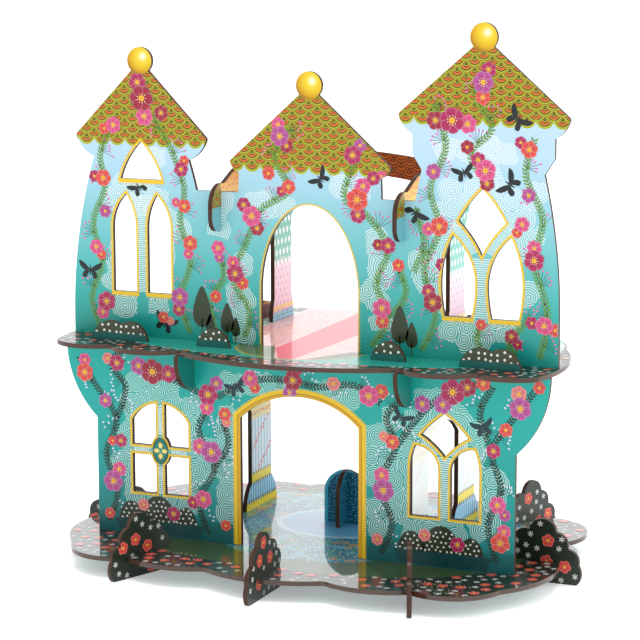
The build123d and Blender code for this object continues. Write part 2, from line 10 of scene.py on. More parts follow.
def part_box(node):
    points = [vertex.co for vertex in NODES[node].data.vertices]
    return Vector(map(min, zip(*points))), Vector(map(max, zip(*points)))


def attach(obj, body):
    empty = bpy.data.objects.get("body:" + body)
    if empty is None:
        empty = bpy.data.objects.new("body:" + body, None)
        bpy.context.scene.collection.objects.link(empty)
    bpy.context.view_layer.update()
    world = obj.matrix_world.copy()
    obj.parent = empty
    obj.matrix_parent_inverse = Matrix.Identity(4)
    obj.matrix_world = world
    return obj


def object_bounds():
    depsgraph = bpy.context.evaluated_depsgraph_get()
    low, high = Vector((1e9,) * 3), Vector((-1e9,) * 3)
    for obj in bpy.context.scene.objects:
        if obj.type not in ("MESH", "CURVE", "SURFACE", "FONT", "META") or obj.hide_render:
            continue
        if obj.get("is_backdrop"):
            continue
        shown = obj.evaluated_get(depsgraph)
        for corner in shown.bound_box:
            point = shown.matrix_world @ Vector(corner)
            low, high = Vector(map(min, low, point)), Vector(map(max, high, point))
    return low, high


# A printed cardboard castle. The boards are the frame's own. This script gives them their print: fields of
# colour and simple patterns in the materials, and thin flat shapes of ink that lie on the boards.

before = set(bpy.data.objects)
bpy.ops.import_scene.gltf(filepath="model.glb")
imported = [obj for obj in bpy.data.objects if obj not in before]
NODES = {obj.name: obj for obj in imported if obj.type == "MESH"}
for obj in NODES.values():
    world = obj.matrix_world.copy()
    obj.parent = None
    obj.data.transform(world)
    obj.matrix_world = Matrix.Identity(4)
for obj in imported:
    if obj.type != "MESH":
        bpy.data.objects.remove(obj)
CAD_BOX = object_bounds()

MM = 0.001

# How far the ink lies above its board, and each layer of it above the last
INK_LIFT = 0.04 * MM
INK_STEP = 0.012 * MM

# How far off a board a probing ray starts, and how squarely a face must look along an axis to count
PROBE = 1.0 * MM
FLAT = 0.95

# Colours are darkened by this, for the bright studio
DIM = 0.84

UPPER_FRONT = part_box("upper_front_wall")[0].y
LOWER_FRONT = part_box("lower_front_wall")[0].y
BASE_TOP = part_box("base_board")[1].z
FLOOR_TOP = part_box("middle_floor")[1].z
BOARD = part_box("base_board")[1].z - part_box("base_board")[0].z

# Places on the walls, in millimetres from the middle and up from the floor of each storey
LEFT_TOWER, RIGHT_TOWER = -119.3, 116.0
TOWER_EAVES = {LEFT_TOWER: 132.2, 0.0: 119.0, RIGHT_TOWER: 153.3}
TOWER_BALLS = {LEFT_TOWER: 181.2, 0.0: 168.7, RIGHT_TOWER: 201.4}
BALL_RADIUS = 8.8
LOWER_WINDOW = 98.9
LOWER_DOOR_HALF = 41.0
UPPER_DOOR_HALF = 33.6
LOWER_DOOR_TOP = 102.0
UPPER_DOOR_TOP = 95.0
LOWER_WINDOW_BAR = 57.5


def colour(code):
    """A colour chart code as linear red, green, blue and alpha, darkened."""
    parts = [int(code[i:i + 2], 16) / 255 for i in (0, 2, 4)]
    parts = [c / 12.92 if c <= 0.04045 else ((c + 0.055) / 1.055) ** 2.4 for c in parts]
    return tuple(c * DIM for c in parts) + (1.0,)


def blended(a, b, share):
    """A colour between two others."""
    return tuple(p + (q - p) * share for p, q in zip(a, b))


def polar(u, v, reach, angle):
    """The place that lies this far from another, at an angle."""
    return u + reach * cos(angle), v + reach * sin(angle)


def linked(name, data):
    """A new object in the scene."""
    obj = bpy.data.objects.new(name, data)
    bpy.context.scene.collection.objects.link(obj)
    return obj


def turned(u, v, a, b, angle):
    """The place a along and b across from another, in a frame turned by an angle."""
    return u + a * cos(angle) - b * sin(angle), v + a * sin(angle) + b * cos(angle)


GOLD = colour("f5c81c")
DEEP_GOLD = colour("b8860f")
WHITE = colour("fbfdf8")
PALE = colour("e4f5f4")
CREAM = colour("fdf3b4")
CORAL = colour("e84c3e")
SALMON = colour("f68a84")
MAGENTA = colour("b4105c")
WINE = colour("a00c34")
PINK = colour("e4508f")
PURPLE = colour("b64c9c")
BERRY = colour("e278ac")
GRASS = colour("689c28")
STEM = colour("4a6b2a")
FERN = colour("203526")
BUSH = colour("2b3520")
NIGHT = colour("1a2418")
OLIVE = colour("475a28")
TEAL = colour("27a08e")
DEEP_TEAL = colour("17665f")
ORANGE = colour("ef9636")
YELLOW = colour("f4d433")
BLACK = colour("14120f")
PLY = colour("5f4130")
PLY_DARK = colour("381e12")


# Materials

SHINE = 0.25
BUMP_DEPTH = 0.2 * MM
BUMP_STRENGTH = 0.05


def operator(operation, flipped=False):
    """A method for an operator of terms, with the two sides flipped where the term is on the right."""
    def apply(term, other):
        return term.shader.math(operation, *((other, term) if flipped else (term, other)))
    return apply


class Term:
    """A number that a material works out at each point."""

    __add__, __radd__ = operator("ADD"), operator("ADD", True)
    __sub__, __rsub__ = operator("SUBTRACT"), operator("SUBTRACT", True)
    __mul__, __rmul__ = operator("MULTIPLY"), operator("MULTIPLY", True)
    __truediv__ = operator("DIVIDE")
    __lt__, __gt__ = operator("LESS_THAN"), operator("GREATER_THAN")

    def __init__(self, shader, socket):
        self.shader = shader
        self.socket = socket

    def __abs__(self):
        return self.shader.math("ABSOLUTE", self)

    def floor(self):
        return self.shader.math("FLOOR", self)

    def part(self):
        """What is left above the whole number."""
        return self.shader.math("FRACT", self)

    def root(self):
        return self.shader.math("SQRT", self)

    def odd(self):
        """1 on odd whole numbers and 0 on even ones."""
        return self.shader.math("FLOORED_MODULO", self, 2.0)

    def swing(self, span):
        """The way from the middle of each span: below 0 before it and above 0 past it."""
        return ((self / span).part() - 0.5) * span

    def wave(self, span):
        """0 at the middle of each span, rising to half a span at its ends."""
        return abs(self.swing(span))


class Shader:
    """Builds one material from terms. x, y and z are places in the castle's frame, in millimetres."""

    def __init__(self, name):
        self.material = bpy.data.materials.new(name)
        self.material.use_nodes = True
        self.tree = self.material.node_tree
        self.tree.nodes.clear()
        coords = self.add("ShaderNodeTexCoord").outputs
        self.x, self.y, self.z = (axis * (1 / MM) for axis in self.split(coords["Object"]))
        self.normal = self.split(coords["Normal"])

    def add(self, kind, inputs=(), **settings):
        """A new node with its settings, and its inputs in order or by name or number."""
        node = self.tree.nodes.new(kind)
        for key, value in settings.items():
            setattr(node, key, value)
        for key, value in inputs.items() if isinstance(inputs, dict) else enumerate(inputs):
            self.put(node.inputs[key], value)
        return node

    def put(self, socket, value):
        """Feeds a socket with a term, another socket, a number, or a colour or its chart code."""
        if isinstance(value, Term):
            value = value.socket
        if isinstance(value, str):
            value = colour(value)
        if isinstance(value, bpy.types.NodeSocket):
            self.tree.links.new(value, socket)
        else:
            socket.default_value = value

    def split(self, vector):
        return [Term(self, out) for out in self.add("ShaderNodeSeparateXYZ", [vector]).outputs]

    def join(self, x, y, z=0.0):
        return self.add("ShaderNodeCombineXYZ", [x, y, z]).outputs[0]

    def math(self, operation, *values):
        return Term(self, self.add("ShaderNodeMath", values, operation=operation).outputs[0])

    def most(self, a, b):
        return self.math("MAXIMUM", a, b)

    def between(self, value, low, high):
        return (value > low) * (value < high)

    def within(self, value, bands):
        """1 where a value lies in any of some bands."""
        found = 0.0
        for low, high in bands:
            found = self.most(found, self.between(value, low, high))
        return found

    def along(self, terms, axis):
        """How far three terms go along an axis."""
        return terms[0] * axis[0] + terms[1] * axis[1] + terms[2] * axis[2]

    def distance(self, a, b):
        return (a * a + b * b).root()

    def ease(self, value, low, high):
        """0 at low, 1 at high and smooth between them."""
        node = self.add("ShaderNodeMapRange", (value, low, high), interpolation_type="SMOOTHSTEP")
        return Term(self, node.outputs[0])

    def mix(self, share, a, b):
        return self.add("ShaderNodeMix", {0: share, 6: a, 7: b}, data_type="RGBA").outputs[2]

    def ramp(self, value, stops, stepped=False):
        """A colour by value, from a list of places and chart codes."""
        node = self.add("ShaderNodeValToRGB", [value])
        node.color_ramp.interpolation = "CONSTANT" if stepped else "LINEAR"
        elements = node.color_ramp.elements
        while len(elements) > 1:
            elements.remove(elements[-1])
        elements[0].position, elements[0].color = stops[0][0], colour(stops[0][1])
        for place, code in stops[1:]:
            elements.new(place).color = colour(code)
        return node.outputs[0]

    def noise(self, size, detail=2.0):
        """Soft noise from 0 to 1, with lumps about the size given in millimetres."""
        inputs = {"Vector": self.join(self.x, self.y, self.z), "Scale": 1 / size, "Detail": detail}
        return Term(self, self.add("ShaderNodeTexNoise", inputs, noise_dimensions="3D").outputs["Fac"])

    def cells(self, u, v, size, jitter):
        """Cells of about a size: the distance from each one's middle, its own number, and its middle."""
        inputs = {"Vector": self.join(u, v), "Scale": 1 / size, "Randomness": jitter}
        out = self.add("ShaderNodeTexVoronoi", inputs, voronoi_dimensions="2D").outputs
        own, middle = self.split(out["Color"])[0], self.split(out["Position"])[:2]
        return Term(self, out["Distance"]) * size, own, middle

    def surface(self, base, roughness, coat=0.0, coat_roughness=0.1, bump=None, glow=0.0):
        """The finished surface, plain or with a clear coat."""
        shader = self.add("ShaderNodeBsdfPrincipled", {
            "Base Color": base, "Roughness": roughness, "Specular IOR Level": SHINE,
            "Emission Strength": glow, "Coat Weight": coat, "Coat Roughness": coat_roughness})
        if bump is not None:
            inputs = {"Distance": BUMP_DEPTH, "Strength": BUMP_STRENGTH, "Height": bump}
            self.put(shader.inputs["Normal"], self.add("ShaderNodeBump", inputs).outputs[0])
        self.add("ShaderNodeOutputMaterial", [shader.outputs[0]])
        return self.material


PAPER_ROUGHNESS, PLY_ROUGHNESS = 0.35, 0.85
LAYERS_PER_MM = 1.1
# The clear coats of the print: how strong and how rough
SATIN, GLOSS = (0.15, 0.1), (1.0, 0.02)


def board(name, axis, printed, coat):
    """Laminated board, thick along an axis: print on its two sides and bare layers along its edges."""
    shader = Shader(name)
    across = shader.along((shader.x, shader.y, shader.z), axis)
    facing = abs(shader.along(shader.normal, axis))
    grain = shader.noise(2.5, 4.0)
    layer = (across * LAYERS_PER_MM + grain * 0.6).part()
    ply = shader.mix(shader.ease(layer, 0.5, 0.85), PLY_DARK, PLY)
    face = facing > FLAT
    base = shader.mix(face, ply, printed(shader))
    roughness = PLY_ROUGHNESS - face * (PLY_ROUGHNESS - PAPER_ROUGHNESS)
    return shader.surface(base, roughness, *coat, bump=shader.noise(0.6, 3.0))


def near(shader, u, v, spots):
    """Above 0 inside any of some ovals, each given by its middle and half sizes."""
    found = None
    for middle_u, middle_v, half_u, half_v in spots:
        here = 1.0 - shader.distance((u - middle_u) / half_u, (v - middle_v) / half_v)
        found = here if found is None else shader.most(found, here)
    return found


# Discs of rings: their spacing, the gap between rings, and the two layers of discs, each with how far it
# is pushed along and how far its discs reach for their spacing
RING_DISC = 14.0
RING_GAP = 1.5
RING_LAYERS = ((0.0, 0.74), (137.0, 0.60))


def rings(shader, u, v, spots):
    """Overlapping discs of thin rings, scattered over some ovals: 1 on a line and 0 elsewhere."""
    found = 0.0
    for push, reach in RING_LAYERS:
        away, _, (middle_u, middle_v) = shader.cells(u + push, v + push, RING_DISC, 0.8)
        disc = (away < RING_DISC * reach) * (near(shader, middle_u - push, middle_v - push, spots) > 0.0)
        line = shader.ease(away.wave(RING_GAP), RING_GAP * 0.28, RING_GAP * 0.12)
        found = disc * (line - found) + found
    return found


TILE_WIDTH, TILE_ROW, TILE_RADIUS, TILE_RIM = 11.3, 3.6, 5.9, 0.6


def scales(shader, u, v, stops):
    """Roof tiles like fish scales, each with its rings of colour. The lowest row hangs from v 0."""
    level = (v / TILE_ROW).floor()
    half = TILE_WIDTH / 2
    odd = level.odd()
    same = (u + (1.0 - odd) * half).swing(TILE_WIDTH)
    other = (u + odd * half).swing(TILE_WIDTH)
    down = v - level * TILE_ROW
    over = shader.distance(other, down - TILE_ROW)
    under = shader.distance(same, down)
    high = shader.distance(same, down - 2 * TILE_ROW)
    away = under + (over < TILE_RADIUS) * (over - under)
    away = away + (high < TILE_RADIUS) * (high - away)
    return shader.ramp(away / TILE_RADIUS, stops, stepped=True)


TILE_STOPS = [
    (0.0, "bcbd20"), (0.05, "14120f"), (0.18, "cdc92a"), (0.26, "32140c"), (0.37, "e38f28"),
    (0.43, "cf4426"), (0.56, "dea31c"), (0.61, "3c3c10"), (0.70, "8c9010"), (0.80, "dad434"),
    (0.86, "5e6214"), (0.94, "c0b020")]
RUST_STOPS = [
    (0.0, "e0a040"), (0.08, "14120f"), (0.18, "c4602c"), (0.30, "4d231a"), (0.40, "d9762f"),
    (0.58, "93391a"), (0.78, "dd8636"), (0.86, "93391a")]

# The walls' colours by height over the gradient's span
GRADIENT_SPAN = 200.0
UPPER_STOPS = [
    (0.0, "149a8e"), (0.1, "2aada4"), (0.2, "48b8b4"), (0.375, "7ac9ce"), (0.52, "a6d6e6"),
    (0.64, "bcdcf0"), (1.0, "cbe3f4")]
LOWER_STOPS = [
    (0.0, "065a5c"), (0.06, "086a68"), (0.075, "0c8684"), (0.2, "109894"), (0.4, "18a8a0"),
    (0.65, "14b2a6")]

# Where the ring patches lie on each wall: middle and half sizes
UPPER_RING_SPOTS = [
    (-119, 62, 27, 50), (-116, 112, 14, 10), (-62, 84, 8, 14), (-46, 34, 7, 30),
    (-28, 96, 24, 9), (24, 98, 24, 9), (46, 50, 7, 40), (80, 66, 6, 20),
    (116, 64, 33, 58), (112, 132, 22, 9), (152, 96, 5, 16)]
LOWER_RING_SPOTS = [
    (-99, 60, 34, 48), (-54, 50, 8, 44), (-30, 108, 26, 5), (32, 108, 24, 5),
    (58, 54, 10, 46), (99, 60, 37, 50)]
UPPER_RING_STRENGTH, LOWER_RING_STRENGTH = 0.78, 0.74

# The windows with a Y of bars: the middle, sill and fork of the stem, the height where the arms spring, and
# the place, radius and top of the arc that each arm follows. The bars are twice BAR_HALF wide.
Fork = namedtuple("Fork", "middle sill fork spring centre radius tip")
UPPER_Y = Fork(RIGHT_TOWER, sill=27.8, fork=66.0, spring=48.0, centre=44.55, radius=44.45, tip=84.0)
LOWER_Y = Fork(LOWER_WINDOW, sill=32.0, fork=70.5, spring=62.0, centre=19.45, radius=18.7, tip=80.0)
BAR_HALF = 4.2
LEFT_BAR_TOP = 80.0


def bars(shader, u, v, y):
    """1 on the Y of bars in a window, which has strokes and no rings."""
    across = abs(u - y.middle)
    stem = (across < BAR_HALF) * shader.between(v, y.sill, y.fork)
    arc = abs(shader.distance(across - y.centre, v - y.spring) - y.radius) < BAR_HALF
    return shader.most(stem, arc * shader.between(v, y.spring, y.tip) * (across < y.centre))


# The gold of the balls, from the lit spot outwards, and where that spot lies from a ball's middle
BALL_STOPS = [
    (0.0, "fffff6"), (0.16, "fff2a8"), (0.3, "f4d63c"), (0.56, "ecc61e"), (0.86, "d6a410"),
    (1.0, "b07c08")]
BALL_SPOT = 2.4, 2.8


def balls(shader, u, v, base):
    """The gold balls on the three towers, each lit from the upper right."""
    for middle, height in TOWER_BALLS.items():
        away = shader.distance(u - middle, v - height)
        from_spot = shader.distance(u - middle - BALL_SPOT[0], v - height - BALL_SPOT[1])
        gold = shader.ramp(from_spot / (BALL_RADIUS * 1.3), BALL_STOPS)
        base = shader.mix(away < BALL_RADIUS + 0.2, base, gold)
    return base


TOWER_SIDE = 60.0


def upper_print(shader):
    """The sky with its rings, and a tiled roof with a scalloped rim on each tower."""
    u, v = shader.x, shader.z - FLOOR_TOP / MM
    field = shader.ramp(v / GRADIENT_SPAN, UPPER_STOPS)
    left_bar = (abs(u - LEFT_TOWER) < BAR_HALF) * (v < LEFT_BAR_TOP)
    lines = rings(shader, u, v, UPPER_RING_SPOTS)
    lines = lines * (1.0 - bars(shader, u, v, UPPER_Y)) * (1.0 - left_bar)
    field = shader.mix(lines * UPPER_RING_STRENGTH, field, WHITE)
    left, right = u < -TOWER_SIDE, u > TOWER_SIDE
    shift = left * LEFT_TOWER + right * RIGHT_TOWER
    level = left * TOWER_EAVES[LEFT_TOWER] + right * TOWER_EAVES[RIGHT_TOWER]
    level = level + (1.0 - left - right) * TOWER_EAVES[0.0]
    roof_u, roof_v = u - shift, v - level + 0.6
    lowest = shader.distance(roof_u.swing(TILE_WIDTH), roof_v)
    roof = shader.most(roof_v > 0.0, lowest < TILE_RADIUS)
    rim = (lowest > TILE_RADIUS - TILE_RIM) * (roof_v < 0.0)
    tiles = shader.mix(rim, scales(shader, roof_u - TILE_WIDTH / 2, roof_v, TILE_STOPS), "b5bd2e")
    return balls(shader, u, v, shader.mix(roof, field, tiles))


TAB_STRIP = 4.5


def tab_print(shader, u, v):
    """A bush with white dots, on a strip of teal."""
    dots, _, _ = shader.cells(u, v, 4.4, 0.5)
    strip = v < TAB_STRIP
    return shader.mix((dots < 0.85) * (1.0 - strip), shader.mix(strip, "3f4a33", DEEP_TEAL), WHITE)


def lower_print(shader):
    """The deeper field with its rings, and bushes on the tabs that come up through the middle floor."""
    u, v = shader.x, shader.z - BASE_TOP / MM
    field = shader.ramp(v / GRADIENT_SPAN, LOWER_STOPS)
    lines = rings(shader, u, v, LOWER_RING_SPOTS) * (1.0 - bars(shader, u, v, LOWER_Y))
    field = shader.mix(lines * LOWER_RING_STRENGTH, field, "dcf4ea")
    tab = shader.z > (FLOOR_TOP - BOARD / 2) / MM
    return shader.mix(tab, field, tab_print(shader, u, shader.z - FLOOR_TOP / MM))


# The lower cross walls: striped paper with garlands, a spotted top, and a striped skirting between yellow
# bands with black dashes. The domes on top come up through the middle floor.
PAPER_SPAN = 4.8
PAPER_STOPS = [(0.0, "78bce6"), (0.12, "ffffff"), (0.5, "e0f3fc"), (0.88, "b0dcf2"), (1.0, "78bce6")]
PAPER_TOP = 62.5
GARLAND_SPAN, GARLAND_SLOPE, GARLAND_HALF = 23.0, 0.75, 2.2
SKIRTING_SPAN = 3.8
SKIRTING_STOPS = [(0.0, "1a6c9c"), (0.12, "4db4e4"), (0.3, "8fd8f4"), (0.55, "f4fdff"), (0.72, "5fc0e8")]
SKIRTING_TOP = 18.0
YELLOW_BANDS = ((-100.0, 5.0), (SKIRTING_TOP, 24.6))
DASH_BANDS = ((4.2, 7.0), (16.4, 19.0), (23.8, 25.4))
DOME_MIDDLE = 95.0 + UPPER_FRONT / MM
DOME_HALF = 15.0


def lower_cross_print(shader):
    u, v = shader.y - UPPER_FRONT / MM, shader.z - BASE_TOP / MM
    wall = shader.ramp((u / PAPER_SPAN).part(), PAPER_STOPS)
    dots, own, _ = shader.cells(u, v, 2.4, 0.9)
    garland = ((v - u * GARLAND_SLOPE).wave(GARLAND_SPAN) < GARLAND_HALF) * (dots < 0.9)
    wall = shader.mix(garland, wall, shader.mix(own, CORAL, SALMON))
    top = shader.mix((v.wave(7.0) < 1.6) * (dots < 0.8), "fde7a2", shader.mix(own, ORANGE, CORAL))
    wall = shader.mix(v > PAPER_TOP, wall, top)
    # Painted light: the right wall's outer face is washed most of the way to white, a painted glare from the
    # side
    painted_glare_face = shader.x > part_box("lower_right_cross_wall")[1].x / MM - 0.5
    wall = shader.mix(painted_glare_face * 0.8, wall, WHITE)
    stripe = (u / SKIRTING_SPAN).part()
    wall = shader.mix(v < SKIRTING_TOP, wall, shader.ramp(stripe, SKIRTING_STOPS))
    wall = shader.mix(shader.within(v, YELLOW_BANDS), wall, "ffe61e")
    wall = shader.mix(shader.within(v, DASH_BANDS) * (stripe < 0.42), wall, BLACK)
    wall = shader.mix(shader.y < LOWER_FRONT / MM, wall, "178f84")
    rise = (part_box("lower_left_cross_wall")[1].z - FLOOR_TOP + BOARD) / MM
    from_floor = shader.z - (FLOOR_TOP - BOARD) / MM
    rim = shader.distance((shader.y - DOME_MIDDLE) / DOME_HALF, from_floor / rise)
    dome = shader.mix(rim > 0.86, "8e2a2b", ORANGE)
    return shader.mix(shader.z > (FLOOR_TOP - BOARD / 2) / MM, wall, dome)


# The upper cross walls: pink below and green above, each with its drops, then a spotted top, a zigzag and a
# dotted skirting. A row of drops has its height, gap, half sizes and colour.
DROPS_ABOVE = 7.2, 6.0, 1.35, 2.1, WHITE
DROPS_BELOW = 4.6, 6.4, 0.45, 1.3, "7c8f92"
DROPS_MEET = 38.0, 40.0
SPOTTED_FROM = 88.0
ZIGZAG_LEVEL, ZIGZAG_SPAN = 7.6, 5.0
DOTTED_TOP = 6.0


def drops(shader, u, v, height, gap, half_u, half_v):
    """1 on the drops of staggered rows."""
    shift = (v / height).floor().odd() * 0.5
    drop_u = ((u / gap + shift).part() - 0.5) * gap
    return shader.distance(drop_u / half_u, v.swing(height) / half_v) < 1.0


def upper_cross_print(shader):
    u, v = shader.y - UPPER_FRONT / MM, shader.z - FLOOR_TOP / MM
    pink = shader.ramp(v / 60.0, [(0.0, "f4b8d2"), (0.7, "fbe2ec")])
    green = shader.ramp(v / 90.0, [(0.4, "8ed0c2"), (1.0, "45a898")])
    change = shader.ease(v + shader.noise(5.0) * 6.0, 40.0, 47.0)
    wall = shader.mix(change, pink, green)
    for (*sizes, tint), where in ((DROPS_ABOVE, v > DROPS_MEET[0]), (DROPS_BELOW, v < DROPS_MEET[1])):
        wall = shader.mix(drops(shader, u, v, *sizes) * where, wall, tint)
    zigzag = abs(v - ZIGZAG_LEVEL - u.wave(ZIGZAG_SPAN)) < 1.0
    wall = shader.mix(zigzag, wall, YELLOW)
    dots, _, _ = shader.cells(u, v, 2.6, 0.4)
    skirting = shader.mix(dots < 0.6, "9fd3e6", "1d5c7c")
    wall = shader.mix(v < DOTTED_TOP, wall, skirting)
    spots, _, _ = shader.cells(u, v, 4.0, 0.5)
    peach = shader.mix(shader.ease(v, SPOTTED_FROM, SPOTTED_FROM + 24.0), "fbd75a", "f7a93c")
    wall = shader.mix(v > SPOTTED_FROM, wall, shader.mix(spots < 0.75, peach, CORAL))
    front = shader.mix(v > 89.0, "7cc5cf", scales(shader, u, v, TILE_STOPS))
    return shader.mix(shader.y < UPPER_FRONT / MM, wall, front)


def rust_print(shader):
    return scales(shader, shader.x, shader.z, RUST_STOPS)


def pond_print(shader):
    """Light dots on deep teal, with a light line along the round edge."""
    low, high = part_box("pond_board")
    half = (high.x - low.x) / 2 / MM
    middle_y = (low.y + high.y) / 2 / MM
    spring = high.z / MM - half
    u = shader.x + (shader.y - middle_y)
    dots, _, _ = shader.cells(u, shader.z, 2.2, 0.7)
    field = shader.mix(dots < 0.42, "0a6280", "6cc8e4")
    rim = shader.distance(u, shader.most(shader.z - spring, 0.0))
    return shader.mix(rim > half - 0.9, field, "4fc0e0")


def mosaic(shader, u, v, palette):
    """A mosaic of small ovals, each with a ring and a light middle."""
    dots, own, _ = shader.cells(u / 1.7, v, 3.6, 0.35)
    ground = shader.ramp(own, palette, stepped=True)
    ring = shader.between(dots, 0.95, 1.35)
    return shader.mix(ring, shader.mix(dots < 0.5, ground, CREAM), "04425c")


WATER_PALETTE = [(0.0, "128cc0"), (0.3, "14a896"), (0.55, "5cc8e6"), (0.74, "ef9636"), (0.82, "086c88")]
SIDE_PALETTE = [(0.0, "a9d9cf"), (0.4, "c7e6dd"), (0.7, "8fcdc3")]

# The floors' borders: how wide they are, and the power of the rounded oblong inside them
BASE_BORDER = 26.0
FLOOR_BORDER = 19.0
OBLONG = 2.6


def inner_oval(node, border):
    """The middle and half sizes, in millimetres, of the rounded oblong inside a floor's border."""
    low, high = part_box(node)
    middle_v = (low.y + high.y) / 2 - UPPER_FRONT
    return middle_v / MM, (high.x - low.x) / 2 / MM - border, (high.y - low.y) / 2 / MM - border


def outside(shader, node, border, u, v):
    """1 on a floor's border."""
    middle, half_u, half_v = inner_oval(node, border)
    share_u = shader.math("POWER", abs(u) / half_u, OBLONG)
    share_v = shader.math("POWER", abs(v - middle) / half_v, OBLONG)
    return share_u + share_v > 1.0


# On the base: the pond and the mosaic apron in the door, each given by its middle and half sizes, and how
# much wider than the border the grass is
POND = -2.0, 58.0, 45.0, 37.0
APRON = 0.0, -16.0, 52.0, 20.0
GRASS_MORE = 8.0


def base_print(shader):
    """A pond in a mosaic, with grass and a dark border round it."""
    u, v = shader.x, shader.y - UPPER_FRONT / MM
    field = mosaic(shader, u, v, WATER_PALETTE)
    pond = 1.0 - near(shader, u, v, [POND])
    marks, _, _ = shader.cells(u / 2.2, v, 9.0, 1.0)
    water = shader.mix(marks < 0.8, "70bcf0", CORAL)
    field = shader.mix(pond < 1.0, field, shader.mix(pond > 0.9, water, "bce4fa"))
    apron = near(shader, u, v, [APRON]) > 0.0
    front = v < (LOWER_FRONT - UPPER_FRONT) / MM + 1.0
    verge = outside(shader, "base_board", BASE_BORDER + GRASS_MORE, u, v)
    grass = shader.most(verge, front) * (1.0 - apron)
    field = shader.mix(grass, field, shader.mix(shader.noise(9.0, 3.0), OLIVE, "3c5a2e"))
    field = shader.mix(outside(shader, "base_board", BASE_BORDER, u, v), field, NIGHT)
    return shader.mix(shader.normal[2] > 0.0, DEEP_TEAL, field)


# On the middle floor: the tongue before the door, the room between the cross walls, and the rug and runner
# that reach from the room onto the tongue, with the slopes of their sides. Beside the rug the tongue is lawn.
TONGUE_U, TONGUE_HALF, TONGUE_REACH = -5.0, 44.0, 36.0
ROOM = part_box("upper_left_cross_wall")[1].x / MM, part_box("upper_right_cross_wall")[0].x / MM
RUNNER = -21.7, 6.0
RUNNER_TAPER_FROM, RUNNER_TAPER, RUNNER_SPREAD = -4.4, 0.5, 0.065
RUG = -24.0, 27.5
RUG_SLOPES = -0.42, 0.54
DOORSTEP = 1.5


def floor_print(shader):
    """A rug with a runner in the room, pale mosaic beside it, and the tongue before the door."""
    u, v = shader.x, shader.y - UPPER_FRONT / MM
    speck = shader.noise(2.0, 3.0)
    rug = shader.mix(shader.ease(speck, 0.52, 0.62), "f2bab6", "d88480")
    taper = shader.most(RUNNER_TAPER_FROM - v, 0.0) * RUNNER_TAPER
    runner = (u > taper + RUNNER[0]) * (u < RUNNER[1] + v * RUNNER_SPREAD)
    rug = shader.mix(runner, rug, "e81c3c")
    room = shader.between(u, *ROOM)
    rooms = shader.mix(room, mosaic(shader, u, v, SIDE_PALETTE), rug)
    on_rug = (u > RUG[0] + v * RUG_SLOPES[0]) * (u < RUG[1] + v * RUG_SLOPES[1])
    lawn = shader.mix(on_rug, "4e602c", rug)
    tongue = shader.distance((u - TONGUE_U) / TONGUE_HALF, v / TONGUE_REACH) < 1.0
    field = shader.mix(v < DOORSTEP, rooms, shader.mix(tongue, TEAL, lawn))
    edge = outside(shader, "middle_floor", FLOOR_BORDER, u, v) * (1.0 - (v > 0.0) * room)
    field = shader.mix(edge, field, NIGHT)
    return shader.mix(shader.normal[2] > 0.0, DEEP_TEAL, field)


def foot_print(shader):
    return shader.mix(shader.noise(6.0, 3.0), NIGHT, "202d1e")


ALONG_X, ALONG_Y, ALONG_Z = (1.0, 0.0, 0.0), (0.0, 1.0, 0.0), (0.0, 0.0, 1.0)
FOOT_AZIMUTHS = {"front_centre": 0.0, "front_left": -20.7, "front_right": 20.7, "side_left": -90.0,
                 "side_right": 90.0, "rear_left": -159.3, "rear_right": 159.3}


def dress(material, nodes):
    """Gives CAD nodes a material."""
    for node in nodes:
        slots = NODES[node].data.materials
        slots.clear()
        slots.append(material)


def dress_boards():
    """Each material's name, the way its boards are thick, its print and its coat, and then its boards."""
    for name, axis, printed, coat, *nodes in (
            ("upper_wall_board", ALONG_Y, upper_print, SATIN, "upper_front_wall"),
            ("lower_wall_board", ALONG_Y, lower_print, SATIN, "lower_front_wall"),
            ("base_board_print", ALONG_Z, base_print, GLOSS, "base_board"),
            ("middle_floor_print", ALONG_Z, floor_print, (0.55, 0.02), "middle_floor"),
            ("roof_band_board", ALONG_Y, rust_print, SATIN, "rear_roof_band"),
            ("pond_board_print", ALONG_Y, pond_print, SATIN, "pond_board"),
            ("pond_cross_print", ALONG_X, pond_print, SATIN, "pond_cross_board"),
            ("lower_cross_board", ALONG_X, lower_cross_print, SATIN,
             "lower_left_cross_wall", "lower_right_cross_wall"),
            ("upper_cross_board", ALONG_X, upper_cross_print, SATIN,
             "upper_left_cross_wall", "upper_right_cross_wall")):
        dress(board(name, axis, printed, coat), nodes)
    for name, azimuth in FOOT_AZIMUTHS.items():
        axis = (*polar(0.0, 0.0, 1.0, radians(azimuth)), 0.0)
        dress(board("bush_" + name, axis, foot_print, (0.3, 0.1)), ["bush_foot_" + name])


# Ink: thin flat shapes on the boards

